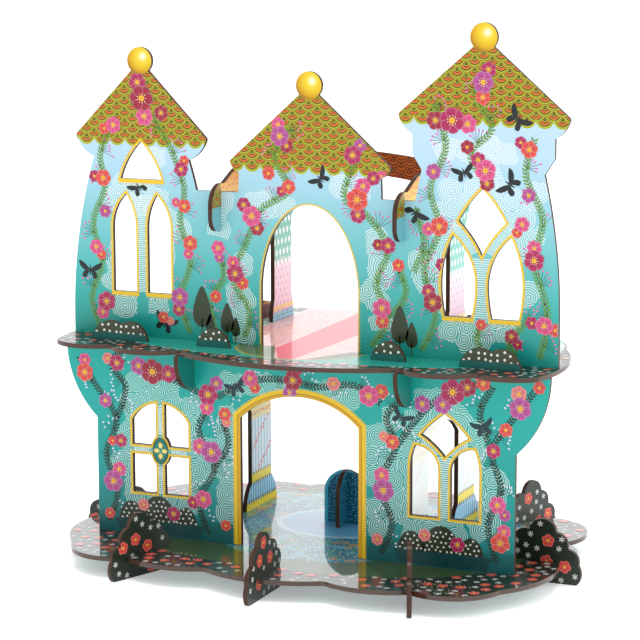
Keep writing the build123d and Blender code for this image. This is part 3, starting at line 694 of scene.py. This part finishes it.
class Sheet:
    """One side of a board, with u and v along it in millimetres. A far sheet is seen from behind."""

    def __init__(self, node, origin, u, v, far=False):
        self.origin, self.u, self.v, self.far = Vector(origin), Vector(u), Vector(v), far
        self.out = self.u.cross(self.v) * (-1 if far else 1)
        self.mesh = NODES[node].data
        corners = [p.co for p in self.mesh.vertices]
        self.tree = BVHTree.FromPolygons(corners, [f.vertices for f in self.mesh.polygons])

    def at(self, u, v, lift):
        return self.origin + self.u * (u * MM) + self.v * (v * MM) + self.out * lift

    def flat(self, point):
        away = point - self.origin
        return away.dot(self.u) / MM, away.dot(self.v) / MM

    def on_board(self, u, v):
        hit, _, _, depth = self.tree.ray_cast(self.at(u, v, PROBE), -self.out, 2 * PROBE)
        return hit is not None and abs(depth - PROBE) < PROBE / 10

    def has_room(self, u, v, reach):
        """Whether the board goes this far on four sides of a place."""
        return all(self.on_board(u + reach * i, v + reach * j) for i, j in ((1, 0), (-1, 0), (0, 1), (0, -1)))

    def loops(self):
        """The closed outlines of this side, largest first, with the board on the left of each."""
        edges = set()
        for face in self.mesh.polygons:
            away = abs((face.center - self.origin).dot(self.out))
            if face.normal.dot(self.out) < FLAT or away > PROBE / 10:
                continue
            keys = [tuple(round(c, 6) for c in self.mesh.vertices[i].co) for i in face.vertices]
            edges.update(zip(keys, keys[1:] + keys[:1]))
        following = {start: end for start, end in edges if (end, start) not in edges}
        found = []
        while following:
            point = min(following)
            loop = []
            while point in following:
                loop.append(self.flat(Vector(point)))
                point = following.pop(point)
            found.append(loop[::-1] if self.far else loop)
        return sorted(found, key=span, reverse=True)


def span(loop):
    """How wide a loop is."""
    return max(u for u, _ in loop) - min(u for u, _ in loop)


def stretch(loop, keep):
    """The run of a loop's points that a rule keeps."""
    first = next(i for i, point in enumerate(loop) if not keep(point))
    return [point for point in loop[first:] + loop[:first] if keep(point)]


# The shortest run of a line that has a direction, and the least that a mitred corner is let shrink
TINY = 1e-6
SHARPEST = 0.45


def offset(line, away, closed=False):
    """The line moved sideways, to its left."""
    moved = []
    count = len(line)
    for i, (u, v) in enumerate(line):
        before = line[i - 1] if closed or i else line[i]
        after = line[(i + 1) % count] if closed or i + 1 < count else line[i]
        run, run_on = Vector((u - before[0], v - before[1])), Vector((after[0] - u, after[1] - v))
        run = run if run.length > TINY else run_on
        run_on = run_on if run_on.length > TINY else run
        side, side_on = (Vector((-r.y, r.x)).normalized() for r in (run, run_on))
        middle = side + side_on
        if middle.length > TINY:
            middle = middle.normalized()
            middle = middle / max(middle.dot(side), SHARPEST)
        else:
            middle = side
        moved.append((u + middle.x * away, v + middle.y * away))
    return moved


def walk(line, spacing, closed=False):
    """Places at equal spacing along a line, each with its direction."""
    points = line + line[:1] if closed else line
    left = spacing / 2
    for (u0, v0), (u1, v1) in zip(points, points[1:]):
        length = hypot(u1 - u0, v1 - v0)
        turn = atan2(v1 - v0, u1 - u0)
        while left < length:
            share = left / length
            yield u0 + (u1 - u0) * share, v0 + (v1 - v0) * share, turn
            left += spacing
        left -= length


def smooth(points, steps=8):
    """A smooth line through some points."""
    ends = [points[0], *points, points[-1]]
    line = []
    for a, b, c, d in zip(ends, ends[1:], ends[2:], ends[3:]):
        for step in range(steps):
            t = step / steps
            line.append(tuple(0.5 * (2 * q + (r - p) * t + (2 * p - 5 * q + 4 * r - s) * t * t
                                     + (3 * q - p - 3 * r + s) * t ** 3) for p, q, r, s in zip(a, b, c, d)))
    return line + [points[-1]]


FORE_WING = [(0.1, 0.04), (-0.05, 0.45), (0.3, 0.95), (0.75, 1.05), (0.5, 0.5)]
HIND_WING = [(0.05, 0.04), (-0.15, 0.12), (-0.65, 0.35), (-0.55, 0.7), (-0.1, 0.55)]


STROKE_GAP = 1.4
LEAF_LENGTH, LEAF_GAP = 3.6, 2.15
PETALS, POSY_LAYER = 6, 8
STALK_REACH, STALKS = 9.0, 6
FLORET_GAP = 3.6, 3.0


class Ink:
    """Collects flat shapes of ink on sheets and makes them one piece."""

    def __init__(self, sheet, seed):
        self.sheet = sheet
        self.chance = random.Random(seed)
        self.points, self.faces, self.tints = [], [], []

    def triangle(self, corners, tints, layer):
        """A triangle of ink, left out where it isn't all on the board."""
        if not all(self.sheet.on_board(u, v) for u, v in corners):
            return
        start = len(self.points)
        self.points += [self.sheet.at(u, v, INK_LIFT + layer * INK_STEP) for u, v in corners]
        self.tints += tints
        far = self.sheet.far
        self.faces.append((start, start + 2, start + 1) if far else (start, start + 1, start + 2))

    def quad(self, corners, tint, layer):
        a, b, c, d = corners
        self.triangle([a, b, c], [tint] * 3, layer)
        self.triangle([a, c, d], [tint] * 3, layer)

    def fan(self, middle, rim, core, edge, layer):
        """A shape filled from its middle to its rim, from one colour to another."""
        for a, b in zip(rim, rim[1:] + rim[:1]):
            self.triangle([middle, a, b], [core, edge, edge], layer)

    def oval(self, u, v, long, short, turn, core, edge, layer, sides=12, swell=0.0, heart=0.0):
        """An oval with its long axis at an angle. Swell widens its far end and heart moves its core."""
        rim = []
        for i in range(sides):
            angle = i * TAU / sides
            wide = short * sin(angle) * (1 + swell * cos(angle))
            rim.append(turned(u, v, long * cos(angle), wide, turn))
        self.fan(polar(u, v, heart, turn), rim, core, edge, layer)

    def dot(self, u, v, radius, tint, layer, sides=7):
        self.oval(u, v, radius, radius, 0.0, tint, tint, layer, sides)

    def ribbon(self, line, low, high, tint, layer, closed=False):
        """A strip beside a line, between two distances to its left."""
        pairs = list(zip(offset(line, low, closed), offset(line, high, closed)))
        for (a0, b0), (a1, b1) in zip(pairs, pairs[1:] + (pairs[:1] if closed else [])):
            self.quad([a0, a1, b1, b0], tint, layer)

    def beads(self, line, away, spacing, radius, tint, layer, closed=False):
        for u, v, _ in walk(offset(line, away, closed), spacing, closed):
            self.dot(u, v, radius, tint, layer, 6)

    def stroke(self, start, end, width, tint, layer):
        self.ribbon([start, end], -width / 2, width / 2, tint, layer)

    def ladder(self, line, reach=8.0):
        """Short pale strokes across a bar between two openings, along its middle line."""
        for u, v, turn in walk(line, STROKE_GAP):
            ends = []
            for side in (-1, 1):
                across = -sin(turn) * side, cos(turn) * side
                far = 0.0
                while far < reach:
                    if not self.sheet.on_board(u + across[0] * (far + 0.6), v + across[1] * (far + 0.6)):
                        break
                    far += 0.2
                ends.append((u + across[0] * far, v + across[1] * far))
            self.stroke(*ends, STROKE_GAP * 0.5, PALE, 4)

    def vine(self, points, leaf, stem):
        """A stem with pairs of slim leaves."""
        line = smooth(points)
        self.ribbon(line, -0.22, 0.22, stem, 2)
        for u, v, turn in walk(line, LEAF_GAP):
            for side in (-1, 1):
                self.leaf(u, v, turn + side * 0.8, leaf)
        return line

    def leaf(self, u, v, turn, tint):
        tip = polar(u, v, LEAF_LENGTH, turn)
        half = LEAF_LENGTH * 0.2
        left, right = (turned(u, v, LEAF_LENGTH / 2, side * half, turn) for side in (1, -1))
        self.quad([(u, v), right, tip, left], tint, 3)

    def blossom(self, u, v, radius, tint, layer, petals=PETALS):
        """A round flower seen from above: petals with pale rims, darker towards the yellow middle."""
        turn = self.chance.random() * TAU
        core, edge, rim = blended(tint, WINE, 0.6), blended(tint, WHITE, 0.02), blended(tint, WHITE, 0.24)
        for i in range(petals):
            angle = turn + i * TAU / petals
            level = layer + 2 * (2 if i == petals - 1 and petals % 2 else i % 2)
            place = polar(u, v, radius * 0.54, angle)
            self.oval(*place, radius * 0.48, radius * 0.44, angle, rim, rim, level, 10, 0.3)
            heart = -radius * 0.3
            self.oval(*place, radius * 0.44, radius * 0.40, angle, core, edge, level + 1, 10, 0.3, heart)
        self.dot(u, v, radius * 0.24, GOLD, layer + 6, 8)
        self.dot(u, v, radius * 0.12, ORANGE, layer + 7)
        if radius > 4.5:
            for i in range(9):
                self.dot(*polar(u, v, radius * 0.36, i * TAU / 9), radius * 0.05, CREAM, layer + 7, 5)

    def posy(self, u, v, size, tints):
        """A large blossom with smaller ones tucked round it."""
        start = self.chance.random() * TAU
        step = TAU / max(len(tints) - 1, 1)
        for i, tint in enumerate(tints[1:]):
            angle = start + i * step * (0.8 + 0.4 * self.chance.random())
            reach = size * (1.15 + 0.25 * self.chance.random())
            self.blossom(*polar(u, v, reach, angle), size * 0.72, tint, POSY_LAYER + i * 4)
        self.blossom(u, v, size, tints[0], POSY_LAYER + 4 * len(tints))

    def spray(self, u, v, turn, tint):
        """Thin dark stalks that fan out from a stem, with a bud at the end of each."""
        for i in range(STALKS):
            angle = turn + (i - (STALKS - 1) / 2) * 0.3
            end = polar(u, v, STALK_REACH * (0.7 + 0.45 * self.chance.random()), angle)
            self.stroke((u, v), end, 0.28, FERN, 1)
            self.oval(*end, 0.95, 0.62, angle, tint, tint, 3, 6)

    def moth(self, u, v, size, turn, tint):
        """A plain butterfly."""
        for side in (-1, 1):
            for wing, layer in ((FORE_WING, 5), (HIND_WING, 6)):
                rim = [turned(u, v, a * size, side * b * size, turn) for a, b in wing[::side]]
                self.fan(rim[2], smooth(rim + rim[:1], 4)[:-1], tint, tint, layer)
        self.oval(u, v, size * 0.5, size * 0.07, turn, tint, tint, 7, 6)

    def cypress(self, u, height, tint):
        """A slim tree on a stem."""
        foot = 0.5
        self.ribbon([(u, foot), (u, foot + height * 0.4)], -0.4, 0.4, STEM, 4)
        middle = foot + height * 0.62
        self.oval(u, middle, height * 0.38, height * 0.17, TAU / 4, tint, tint, 4, 16, -0.5)

    def mound(self, u, v, half, height, tint):
        """A bush with white florets, standing on a level line."""
        steps = [i * TAU / 24 for i in range(13)]
        rim = [(u + half * cos(angle), v + height * sin(angle)) for angle in steps]
        self.fan((u, v + 0.1), rim, tint, tint, 4)
        gap_u, gap_v = FLORET_GAP
        for row in range(int(height / gap_v)):
            for column in range(-4, 5):
                shift = (column + row % 2 * 0.5) * gap_u + self.chance.uniform(-0.6, 0.6)
                rise = 1.6 + row * gap_v + self.chance.uniform(-0.6, 0.6)
                if hypot(shift / half, rise / height) < 0.92:
                    self.floret(u + shift, v + rise, 0.85)

    def floret(self, u, v, radius):
        """A very small white flower."""
        turn = self.chance.random() * TAU
        for i in range(5):
            angle = turn + i * TAU / 5
            sides = ((-0.5, 0.72), (0.0, 1.0), (0.5, 0.72))
            ends = [polar(u, v, radius * far, angle + side) for side, far in sides]
            self.quad([(u, v)] + ends, WHITE, 5)

    def star(self, u, v, radius, layer):
        """Six thin white rays."""
        turn = self.chance.random() * TAU
        for i in range(6):
            angle = turn + i * TAU / 6
            ends = polar(u, v, radius * 0.18, angle), polar(u, v, radius, angle)
            self.stroke(*ends, radius * 0.26, WHITE, layer)

    def piece(self, name, material=None):
        """Makes the shapes one piece on the castle's one body."""
        mesh = bpy.data.meshes.new(name)
        mesh.from_pydata(self.points, [], self.faces)
        tints = mesh.color_attributes.new("Ink", "FLOAT_COLOR", "POINT")
        for item, tint in zip(tints.data, self.tints):
            item.color = tint
        mesh.materials.append(material or INK)
        obj = linked(name, mesh)
        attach(obj, "root")


def ink_material(name, coat):
    shader = Shader(name)
    tint = shader.add("ShaderNodeVertexColor", layer_name="Ink").outputs[0]
    base = shader.mix(shader.ease(shader.noise(0.8), 0.5, 0.9) * 0.05, tint, WHITE)
    return shader.surface(base, PAPER_ROUGHNESS, *coat)


INK = ink_material("ink", SATIN)
FLOOR_INK = ink_material("floor_ink", GLOSS)


# What is printed on the walls. Each plant grows on both sides of its board.

UPPER_VINES = [
    [(-151, 4), (-157, 24), (-149, 48), (-155, 74), (-146, 98), (-149, 120), (-140, 138)],
    [(-84, 4), (-92, 26), (-84, 52), (-91, 78), (-88, 100), (-97, 124), (-110, 146)],
    [(-46, 4), (-42, 22), (-54, 44), (-44, 66), (-34, 88), (-14, 102), (-24, 122), (-12, 142)],
    [(-66, 6), (-70, 26), (-60, 44), (-66, 62)],
    [(42, 4), (54, 24), (46, 46), (54, 68), (40, 88), (24, 100), (32, 122)],
    [(54, 24), (66, 40), (60, 60)],
    [(76, 4), (86, 28), (78, 56), (88, 82), (82, 108), (92, 134), (84, 160)],
    [(154, 4), (159, 34), (150, 64), (155, 92), (144, 118), (149, 140)],
    [(116, 8), (113, 17), (118, 25)], [(140, 6), (134, 14), (148, 30)], [(72, 96), (78, 74), (72, 56)],
    [(118, 113), (108, 130), (122, 146), (112, 164), (118, 182)]]
# Each posy has its place, its size and its flowers' colours, the largest first
UPPER_POSIES = [
    (-146, 22, 6.6, "mp"), (-153, 58, 5.0, "pc"), (-147, 104, 5.6, "cm"), (-118, 157, 8.4, "wpm"),
    (-139, 139, 5.4, "pc"), (-92, 28, 6.4, "vm"), (-84, 64, 5.2, "cp"), (-90, 112, 5.0, "mc"),
    (-104, 148, 5.0, "w"), (-52, 46, 6.2, "mcp"), (-40, 84, 6.8, "pmw"), (-14, 104, 4.8, "cm"),
    (-20, 136, 6.4, "vpw"), (-64, 62, 5.0, "pv"), (-66, 30, 4.2, "c"), (50, 30, 6.4, "pc"),
    (54, 70, 5.2, "mw"), (33, 98, 7.4, "cpm"), (30, 126, 6.0, "mv"), (61, 58, 4.2, "c"),
    (84, 36, 6.4, "wm"), (88, 84, 6.0, "cp"), (84, 118, 5.0, "v"), (96, 150, 8.2, "mwp"),
    (118, 120, 6.8, "pmw"), (116, 174, 6.8, "vmc"), (146, 134, 5.4, "cm"), (150, 66, 6.6, "mp"),
    (157, 26, 5.8, "pcm"), (116, 24, 3.6, "c"), (146, 106, 4.6, "v"), (106, 134, 4.4, "w"),
    (142, 88, 4.8, "pc"), (90, 60, 4.4, "m"), (-146, 82, 4.4, "v"), (-88, 88, 4.6, "cp"),
    (-28, 112, 4.4, "c"), (44, 112, 4.6, "mp"), (-104, 14, 4.0, "cs"), (136, 18, 4.6, "wm")]
UPPER_MOTHS = [
    (-103, 10, 8, 1.2), (-121, 99, 7, 2.2), (72, 92, 8, 0.6), (104, 118, 7, 1.9),
    (138, 152, 8, 0.8), (8, 110, 7, 2.4), (-158, 42, 8, 1.5), (134, 112, 8, 2.6)]
CYPRESSES = [(-76, 36), (-58, 26), (62, 32), (70, 22), (-70, 18), (-52, 17)]
LOWER_VINES = [
    [(-138, 6), (-131, 28), (-139, 52), (-131, 76), (-146, 98), (-158, 116)],
    [(-131, 76), (-124, 98), (-134, 112), (-128, 122)],
    [(-64, 4), (-71, 26), (-60, 50), (-71, 74), (-64, 94), (-84, 104), (-106, 112)],
    [(-60, 50), (-50, 66), (-54, 84)],
    [(-58, 96), (-38, 108), (-14, 112), (12, 109), (38, 112), (56, 102)],
    [(56, 4), (64, 26), (55, 50), (66, 74), (60, 94), (72, 106)],
    [(66, 74), (82, 96), (98, 110), (118, 118)],
    [(134, 6), (128, 30), (136, 54), (130, 78), (144, 100), (156, 116)],
    [(130, 78), (122, 100), (130, 118)]]
LOWER_POSIES = [
    (-134, 34, 7.2, "vp"), (-128, 62, 4.6, "mc"), (-154, 106, 6.2, "cp"), (-139, 88, 4.8, "v"),
    (-130, 114, 5.6, "ms"), (-104, 110, 8.4, "wvm"), (-68, 28, 6.0, "pm"), (-62, 60, 7.4, "vp"),
    (-52, 86, 4.6, "cs"), (-64, 98, 7.0, "mvp"), (-34, 111, 5.4, "pc"), (-4, 112, 6.6, "wmv"),
    (24, 112, 4.6, "s"), (48, 106, 6.8, "pc"), (58, 46, 7.4, "vp"), (64, 78, 4.8, "cs"),
    (54, 14, 4.0, "s"), (84, 104, 5.4, "v"), (104, 113, 8.2, "mwv"), (134, 44, 5.6, "pv"),
    (131, 78, 4.8, "m"), (148, 106, 7.2, "vs"), (139, 92, 4.4, "c"), (136, 20, 6.4, "cp"),
    (-137, 12, 3.8, "c"), (124, 120, 4.8, "cs"), (160, 120, 4.0, "c"), (-52, 12, 3.8, "c")]
LOWER_MOTHS = [(-44, 104, 7, 2.0), (70, 94, 7, 1.1), (124, 92, 7, 1.9)]
MOUNDS = [(-22, 9, 13), (-2, 13, 18), (18, 8, 12)]
TINTS = {"m": MAGENTA, "w": WINE, "p": PINK, "c": CORAL, "v": PURPLE, "s": SALMON}


def garden(ink, vines, posies, moths, leaf, stem, bud, wing):
    """Vines with buds beside them, flowers in bunches, and butterflies."""
    for points in vines:
        line = ink.vine(points, leaf, stem)
        for i, (u, v, turn) in enumerate(walk(line, 19.0)):
            side = 1 if i % 2 else -1
            ink.spray(u, v, turn + side * 1.0, bud)
    for u, v, size, tints in posies:
        ink.posy(u, v, size, [TINTS[letter] for letter in tints])
    for place in moths:
        ink.moth(*place, wing)


def door_line(outer, half, top):
    """The outline round a door, from the floor up one side and down the other."""
    found = stretch(outer, lambda point: abs(point[0]) < half + 0.1 and -0.5 < point[1] < top)
    return [(u, max(v, 0.3)) for u, v in found]


def upper_trims(ink):
    """Gold lines and beads round the windows and the door, and a gold sill under each window."""
    outer, *holes = ink.sheet.loops()
    for loop in holes:
        ink.ribbon(loop, 0.15, 1.45, GOLD, 5, closed=True)
        ink.beads(loop, 1.9, 2.4, 0.42, GOLD, 5, closed=True)
        low = min(v for _, v in loop)
        foot = [u for u, v in loop if v < low + 0.5]
        if max(foot) - min(foot) > 5:
            ink.ribbon([(min(foot) - 1.5, low - 2.7), (max(foot) + 1.5, low - 2.7)], 0, 2.5, GOLD, 6)
            ink.beads([(min(foot) - 2, low - 3.6), (max(foot) + 2, low - 3.6)], 0, 2.0, 0.42, YELLOW, 6)
    door = door_line(outer, UPPER_DOOR_HALF, UPPER_DOOR_TOP)
    ink.ribbon(door, 0.15, 0.95, GOLD, 5)
    ink.beads(door, 1.5, 2.4, 0.34, GOLD, 5)


def lower_trims(ink):
    """A moulded gold frame round the door, and gold lines round the windows."""
    outer, *holes = ink.sheet.loops()
    door = door_line(outer, LOWER_DOOR_HALF, LOWER_DOOR_TOP)
    ink.ribbon(door, 0.1, 1.9, colour("e0aa12"), 5)
    ink.ribbon(door, 1.9, 2.5, DEEP_GOLD, 5)
    ink.ribbon(door, 2.5, 4.8, GOLD, 5)
    ink.beads(door, 5.2, 1.7, 0.5, YELLOW, 6)
    for loop in holes:
        ink.ribbon(loop, 0.15, 0.5, DEEP_GOLD, 5, closed=True)
        ink.ribbon(loop, 0.5, 1.5, GOLD, 5, closed=True)
        ink.beads(loop, 1.8, 1.5, 0.38, YELLOW, 5, closed=True)


def y_strokes(ink, y, first, last):
    """Strokes across a window's Y of bars: along its stem and between two angles of each arm's arc."""
    ink.ladder([(y.middle, y.sill), (y.middle, y.fork)])
    for side in (-1, 1):
        arm = [polar(0.0, 0.0, y.radius, radians(angle)) for angle in range(first, last)]
        ink.ladder([(y.middle + side * (y.centre - a), y.spring + b) for a, b in arm], 5.0)


def upper_garden(far):
    y = UPPER_FRONT + (BOARD if far else 0)
    ink = Ink(Sheet("upper_front_wall", (0, y, FLOOR_TOP), ALONG_X, ALONG_Z, far), 5 if far else 3)
    garden(ink, UPPER_VINES, UPPER_POSIES, UPPER_MOTHS, GRASS, STEM, BERRY, colour("1b2225"))
    upper_trims(ink)
    ink.ladder([(LEFT_TOWER, 29.5), (LEFT_TOWER, 94.0)])
    y_strokes(ink, UPPER_Y, 27, 57)
    for place in CYPRESSES:
        ink.cypress(*place, colour("34402a"))
    ink.piece("upper_wall_back_print" if far else "upper_wall_front_print")


def lower_garden(far):
    y = LOWER_FRONT + (BOARD if far else 0)
    ink = Ink(Sheet("lower_front_wall", (0, y, BASE_TOP), ALONG_X, ALONG_Z, far), 9 if far else 7)
    garden(ink, LOWER_VINES, LOWER_POSIES, LOWER_MOTHS, FERN, BLACK, colour("e4def2"), colour("12333c"))
    lower_trims(ink)
    y_strokes(ink, LOWER_Y, 34, 78)
    cross_bars(ink, -LOWER_WINDOW, LOWER_WINDOW_BAR)
    for middle in (-LOWER_WINDOW, LOWER_WINDOW):
        for shift, half, height in MOUNDS:
            ink.mound(middle + shift, 9.0, half, height, BUSH)
        box = [(middle - 30, 1), (middle + 28, 1), (middle + 32, 9.4), (middle - 34, 9.4)]
        ink.quad(box, colour("0b4547"), 5)
        ink.blossom(middle + 9, 16, 5.0, MAGENTA, 9)
        ink.blossom(middle - 13, 20, 4.2, SALMON, 9)
    ink.piece("lower_wall_back_print" if far else "lower_wall_front_print")


def cross_bars(ink, u, v):
    """Strokes across a window's crossed bars, and a medal where they meet."""
    for side in (-1, 1):
        ink.ladder([(u + side * 8.0, v), (u + side * 19.5, v)])
    for low, high in ((28.6, 46.5), (68.5, 88.0)):
        ink.ladder([(u, low), (u, high)])
    ink.oval(u, v, 9.0, 5.8, TAU / 4, TEAL, DEEP_TEAL, 5, 20)
    for i in range(4):
        angle = i * TAU / 4
        place = u + 2.9 * cos(angle), v + 3.6 * sin(angle)
        ink.oval(*place, 2.0, 1.5, angle, CREAM, GOLD, 6)


def feet_print():
    """White stars and coral flowers, on both sides of every foot."""
    ink = Ink(None, 21)
    for name, azimuth in FOOT_AZIMUTHS.items():
        node = "bush_foot_" + name
        low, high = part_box(node)
        turn = radians(azimuth)
        outward = Vector((sin(turn), -cos(turn), 0))
        for far in (False, True):
            thick = outward.cross(Vector(ALONG_Z)) * (-1 if far else 1) * (BOARD / 2)
            middle = Vector(((low.x + high.x) / 2, (low.y + high.y) / 2, 0)) + thick
            ink.sheet = Sheet(node, middle, outward, ALONG_Z, far)
            scatter_foot(ink)
    ink.piece("feet_print")


def scatter_foot(ink):
    """A few flowers on one side of a foot, and stars in what is left."""
    placed = []
    for _ in range(500):
        u, v = ink.chance.uniform(-26, 26), ink.chance.uniform(1, 42)
        large = len(placed) < 4
        room = 4.8 if large else 2.9
        clear = all(hypot(u - a, v - b) > room + r + 0.7 for a, b, r in placed)
        if not clear or not ink.sheet.has_room(u, v, room * 0.8):
            continue
        placed.append((u, v, room))
        if large:
            ink.blossom(u, v, 4.2, CORAL, 2, 5)
        else:
            ink.star(u, v, 1.9, 1)


def strew(ink, node, border, flower, bare=(0.0, 0.0)):
    """Coral flowers and white stars on the border of a level board, but for a stretch at its rear."""
    middle, half_u, half_v = inner_oval(node, border)
    placed = []
    for room, tries in ((flower, 1200), (flower * 0.62, 5200)):
        for _ in range(tries):
            u = ink.chance.uniform(-1, 1) * (half_u + border)
            v = middle + ink.chance.uniform(-1, 1) * (half_v + border)
            share = (abs(u) / half_u) ** OBLONG + (abs(v - middle) / half_v) ** OBLONG
            if share < 1 or v > middle and bare[0] < u < bare[1]:
                continue
            if any(dist((u, v), other) < (room + gap) * 1.15 for other, gap in placed):
                continue
            if not ink.sheet.has_room(u, v, room):
                continue
            placed.append(((u, v), room))
            if room == flower:
                ink.blossom(u, v, flower * 0.9, CORAL, 3, 5)
            else:
                ink.star(u, v, flower * 0.6, 3)


def floor_prints():
    ink = Ink(Sheet("base_board", (0, UPPER_FRONT, BASE_TOP), ALONG_X, ALONG_Y), 31)
    strew(ink, "base_board", BASE_BORDER, 3.7)
    ink.piece("base_border_print", FLOOR_INK)
    ink = Ink(Sheet("middle_floor", (0, UPPER_FRONT, FLOOR_TOP), ALONG_X, ALONG_Y), 33)
    strew(ink, "middle_floor", FLOOR_BORDER, 3.1, ROOM)
    steps = [i * TAU / 64 for i in range(33, 64)]
    tongue = [(TONGUE_HALF * cos(angle) + TONGUE_U, TONGUE_REACH * sin(angle)) for angle in steps]
    ink.ribbon(tongue, -0.4, 0.4, YELLOW, 2)
    ink.beads(tongue, 1.6, 2.6, 0.6, YELLOW, 2)
    ink.piece("middle_floor_border_print", FLOOR_INK)


# The camera stands where the photograph was taken from: its turn, tilt and roll in degrees, and its place
# in its own directions, right, up and back, in millimetres from the foot of the upper front wall
CAMERA_TURN, CAMERA_TILT, CAMERA_ROLL = 23.2, 10.05, -0.125
CAMERA_PLACE = 6.784, 18.816, 1548.8
CAMERA_LENS = 136.1


def place_camera():
    turn, tilt, roll = (radians(angle) for angle in (CAMERA_TURN, CAMERA_TILT, CAMERA_ROLL))
    facing = Euler((TAU / 4 - tilt, 0.0, turn)).to_matrix() @ Matrix.Rotation(roll, 3, "Z")
    data = bpy.data.cameras.new("camera")
    data.sensor_width = 36.0
    data.lens = CAMERA_LENS
    data.clip_end = 50.0
    camera = linked("camera", data)
    camera.matrix_world = facing.to_4x4()
    camera.location = Vector((0.0, UPPER_FRONT, FLOOR_TOP)) + facing @ (Vector(CAMERA_PLACE) * MM)
    bpy.context.scene.camera = camera


def lamp(name, place, target, wide, high, strength):
    """A soft panel of light, as bright to look at as the strength given."""
    data = bpy.data.lights.new(name, "AREA")
    data.shape = "RECTANGLE"
    data.size, data.size_y = wide, high
    data.energy = strength * pi * wide * high
    obj = linked(name, data)
    obj.location = place
    obj.rotation_euler = (Vector(target) - Vector(place)).to_track_quat("-Z", "Y").to_euler()


GROUND_REACH = 6.0
GROUND_TONES = (0.97, 0.97, 0.97, 1.0), (1.0, 1.0, 1.0, 1.0)
SKY, SKY_STRENGTH = (0.97, 0.985, 1.0, 1.0), 1.05
SUN_STRENGTH, SUN_SPREAD = 0.35, 30


def place_stage():
    """A pale floor, an even sky, two soft panels of light and a weak sun overhead."""
    corners = [(i * GROUND_REACH, j * GROUND_REACH, 0) for i, j in ((-1, -1), (1, -1), (1, 1), (-1, 1))]
    mesh = bpy.data.meshes.new("ground")
    mesh.from_pydata(corners, [], [(0, 1, 2, 3)])
    shader = Shader("ground")
    mesh.materials.append(shader.surface(shader.mix(shader.noise(40.0), *GROUND_TONES), 0.9, glow=0.3))
    linked("ground", mesh)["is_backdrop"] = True
    world = bpy.data.worlds.new("studio")
    bpy.context.scene.world = world
    world.use_nodes = True
    background = world.node_tree.nodes["Background"]
    background.inputs[0].default_value = SKY
    background.inputs[1].default_value = SKY_STRENGTH
    lamp("side_panel", (1.5, 0.55, 0.75), (0, 0, 0.15), wide=1.2, high=1.2, strength=2.4)
    lamp("back_panel", (-1.0, 2.4, 1.15), (0, 0, 0.3), wide=4.0, high=1.7, strength=0.6)
    above = bpy.data.lights.new("above", "SUN")
    above.energy = SUN_STRENGTH * pi
    above.angle = radians(SUN_SPREAD)
    linked("above", above)
    bpy.context.scene.view_settings.view_transform = "Standard"


dress_boards()
for far_side in (False, True):
    upper_garden(far_side)
    lower_garden(far_side)
feet_print()
floor_prints()
place_camera()
place_stage()

boxes = {"cad": CAD_BOX, "visual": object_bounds()}
{name: [list(corner) for corner in box] for name, box in boxes.items()}
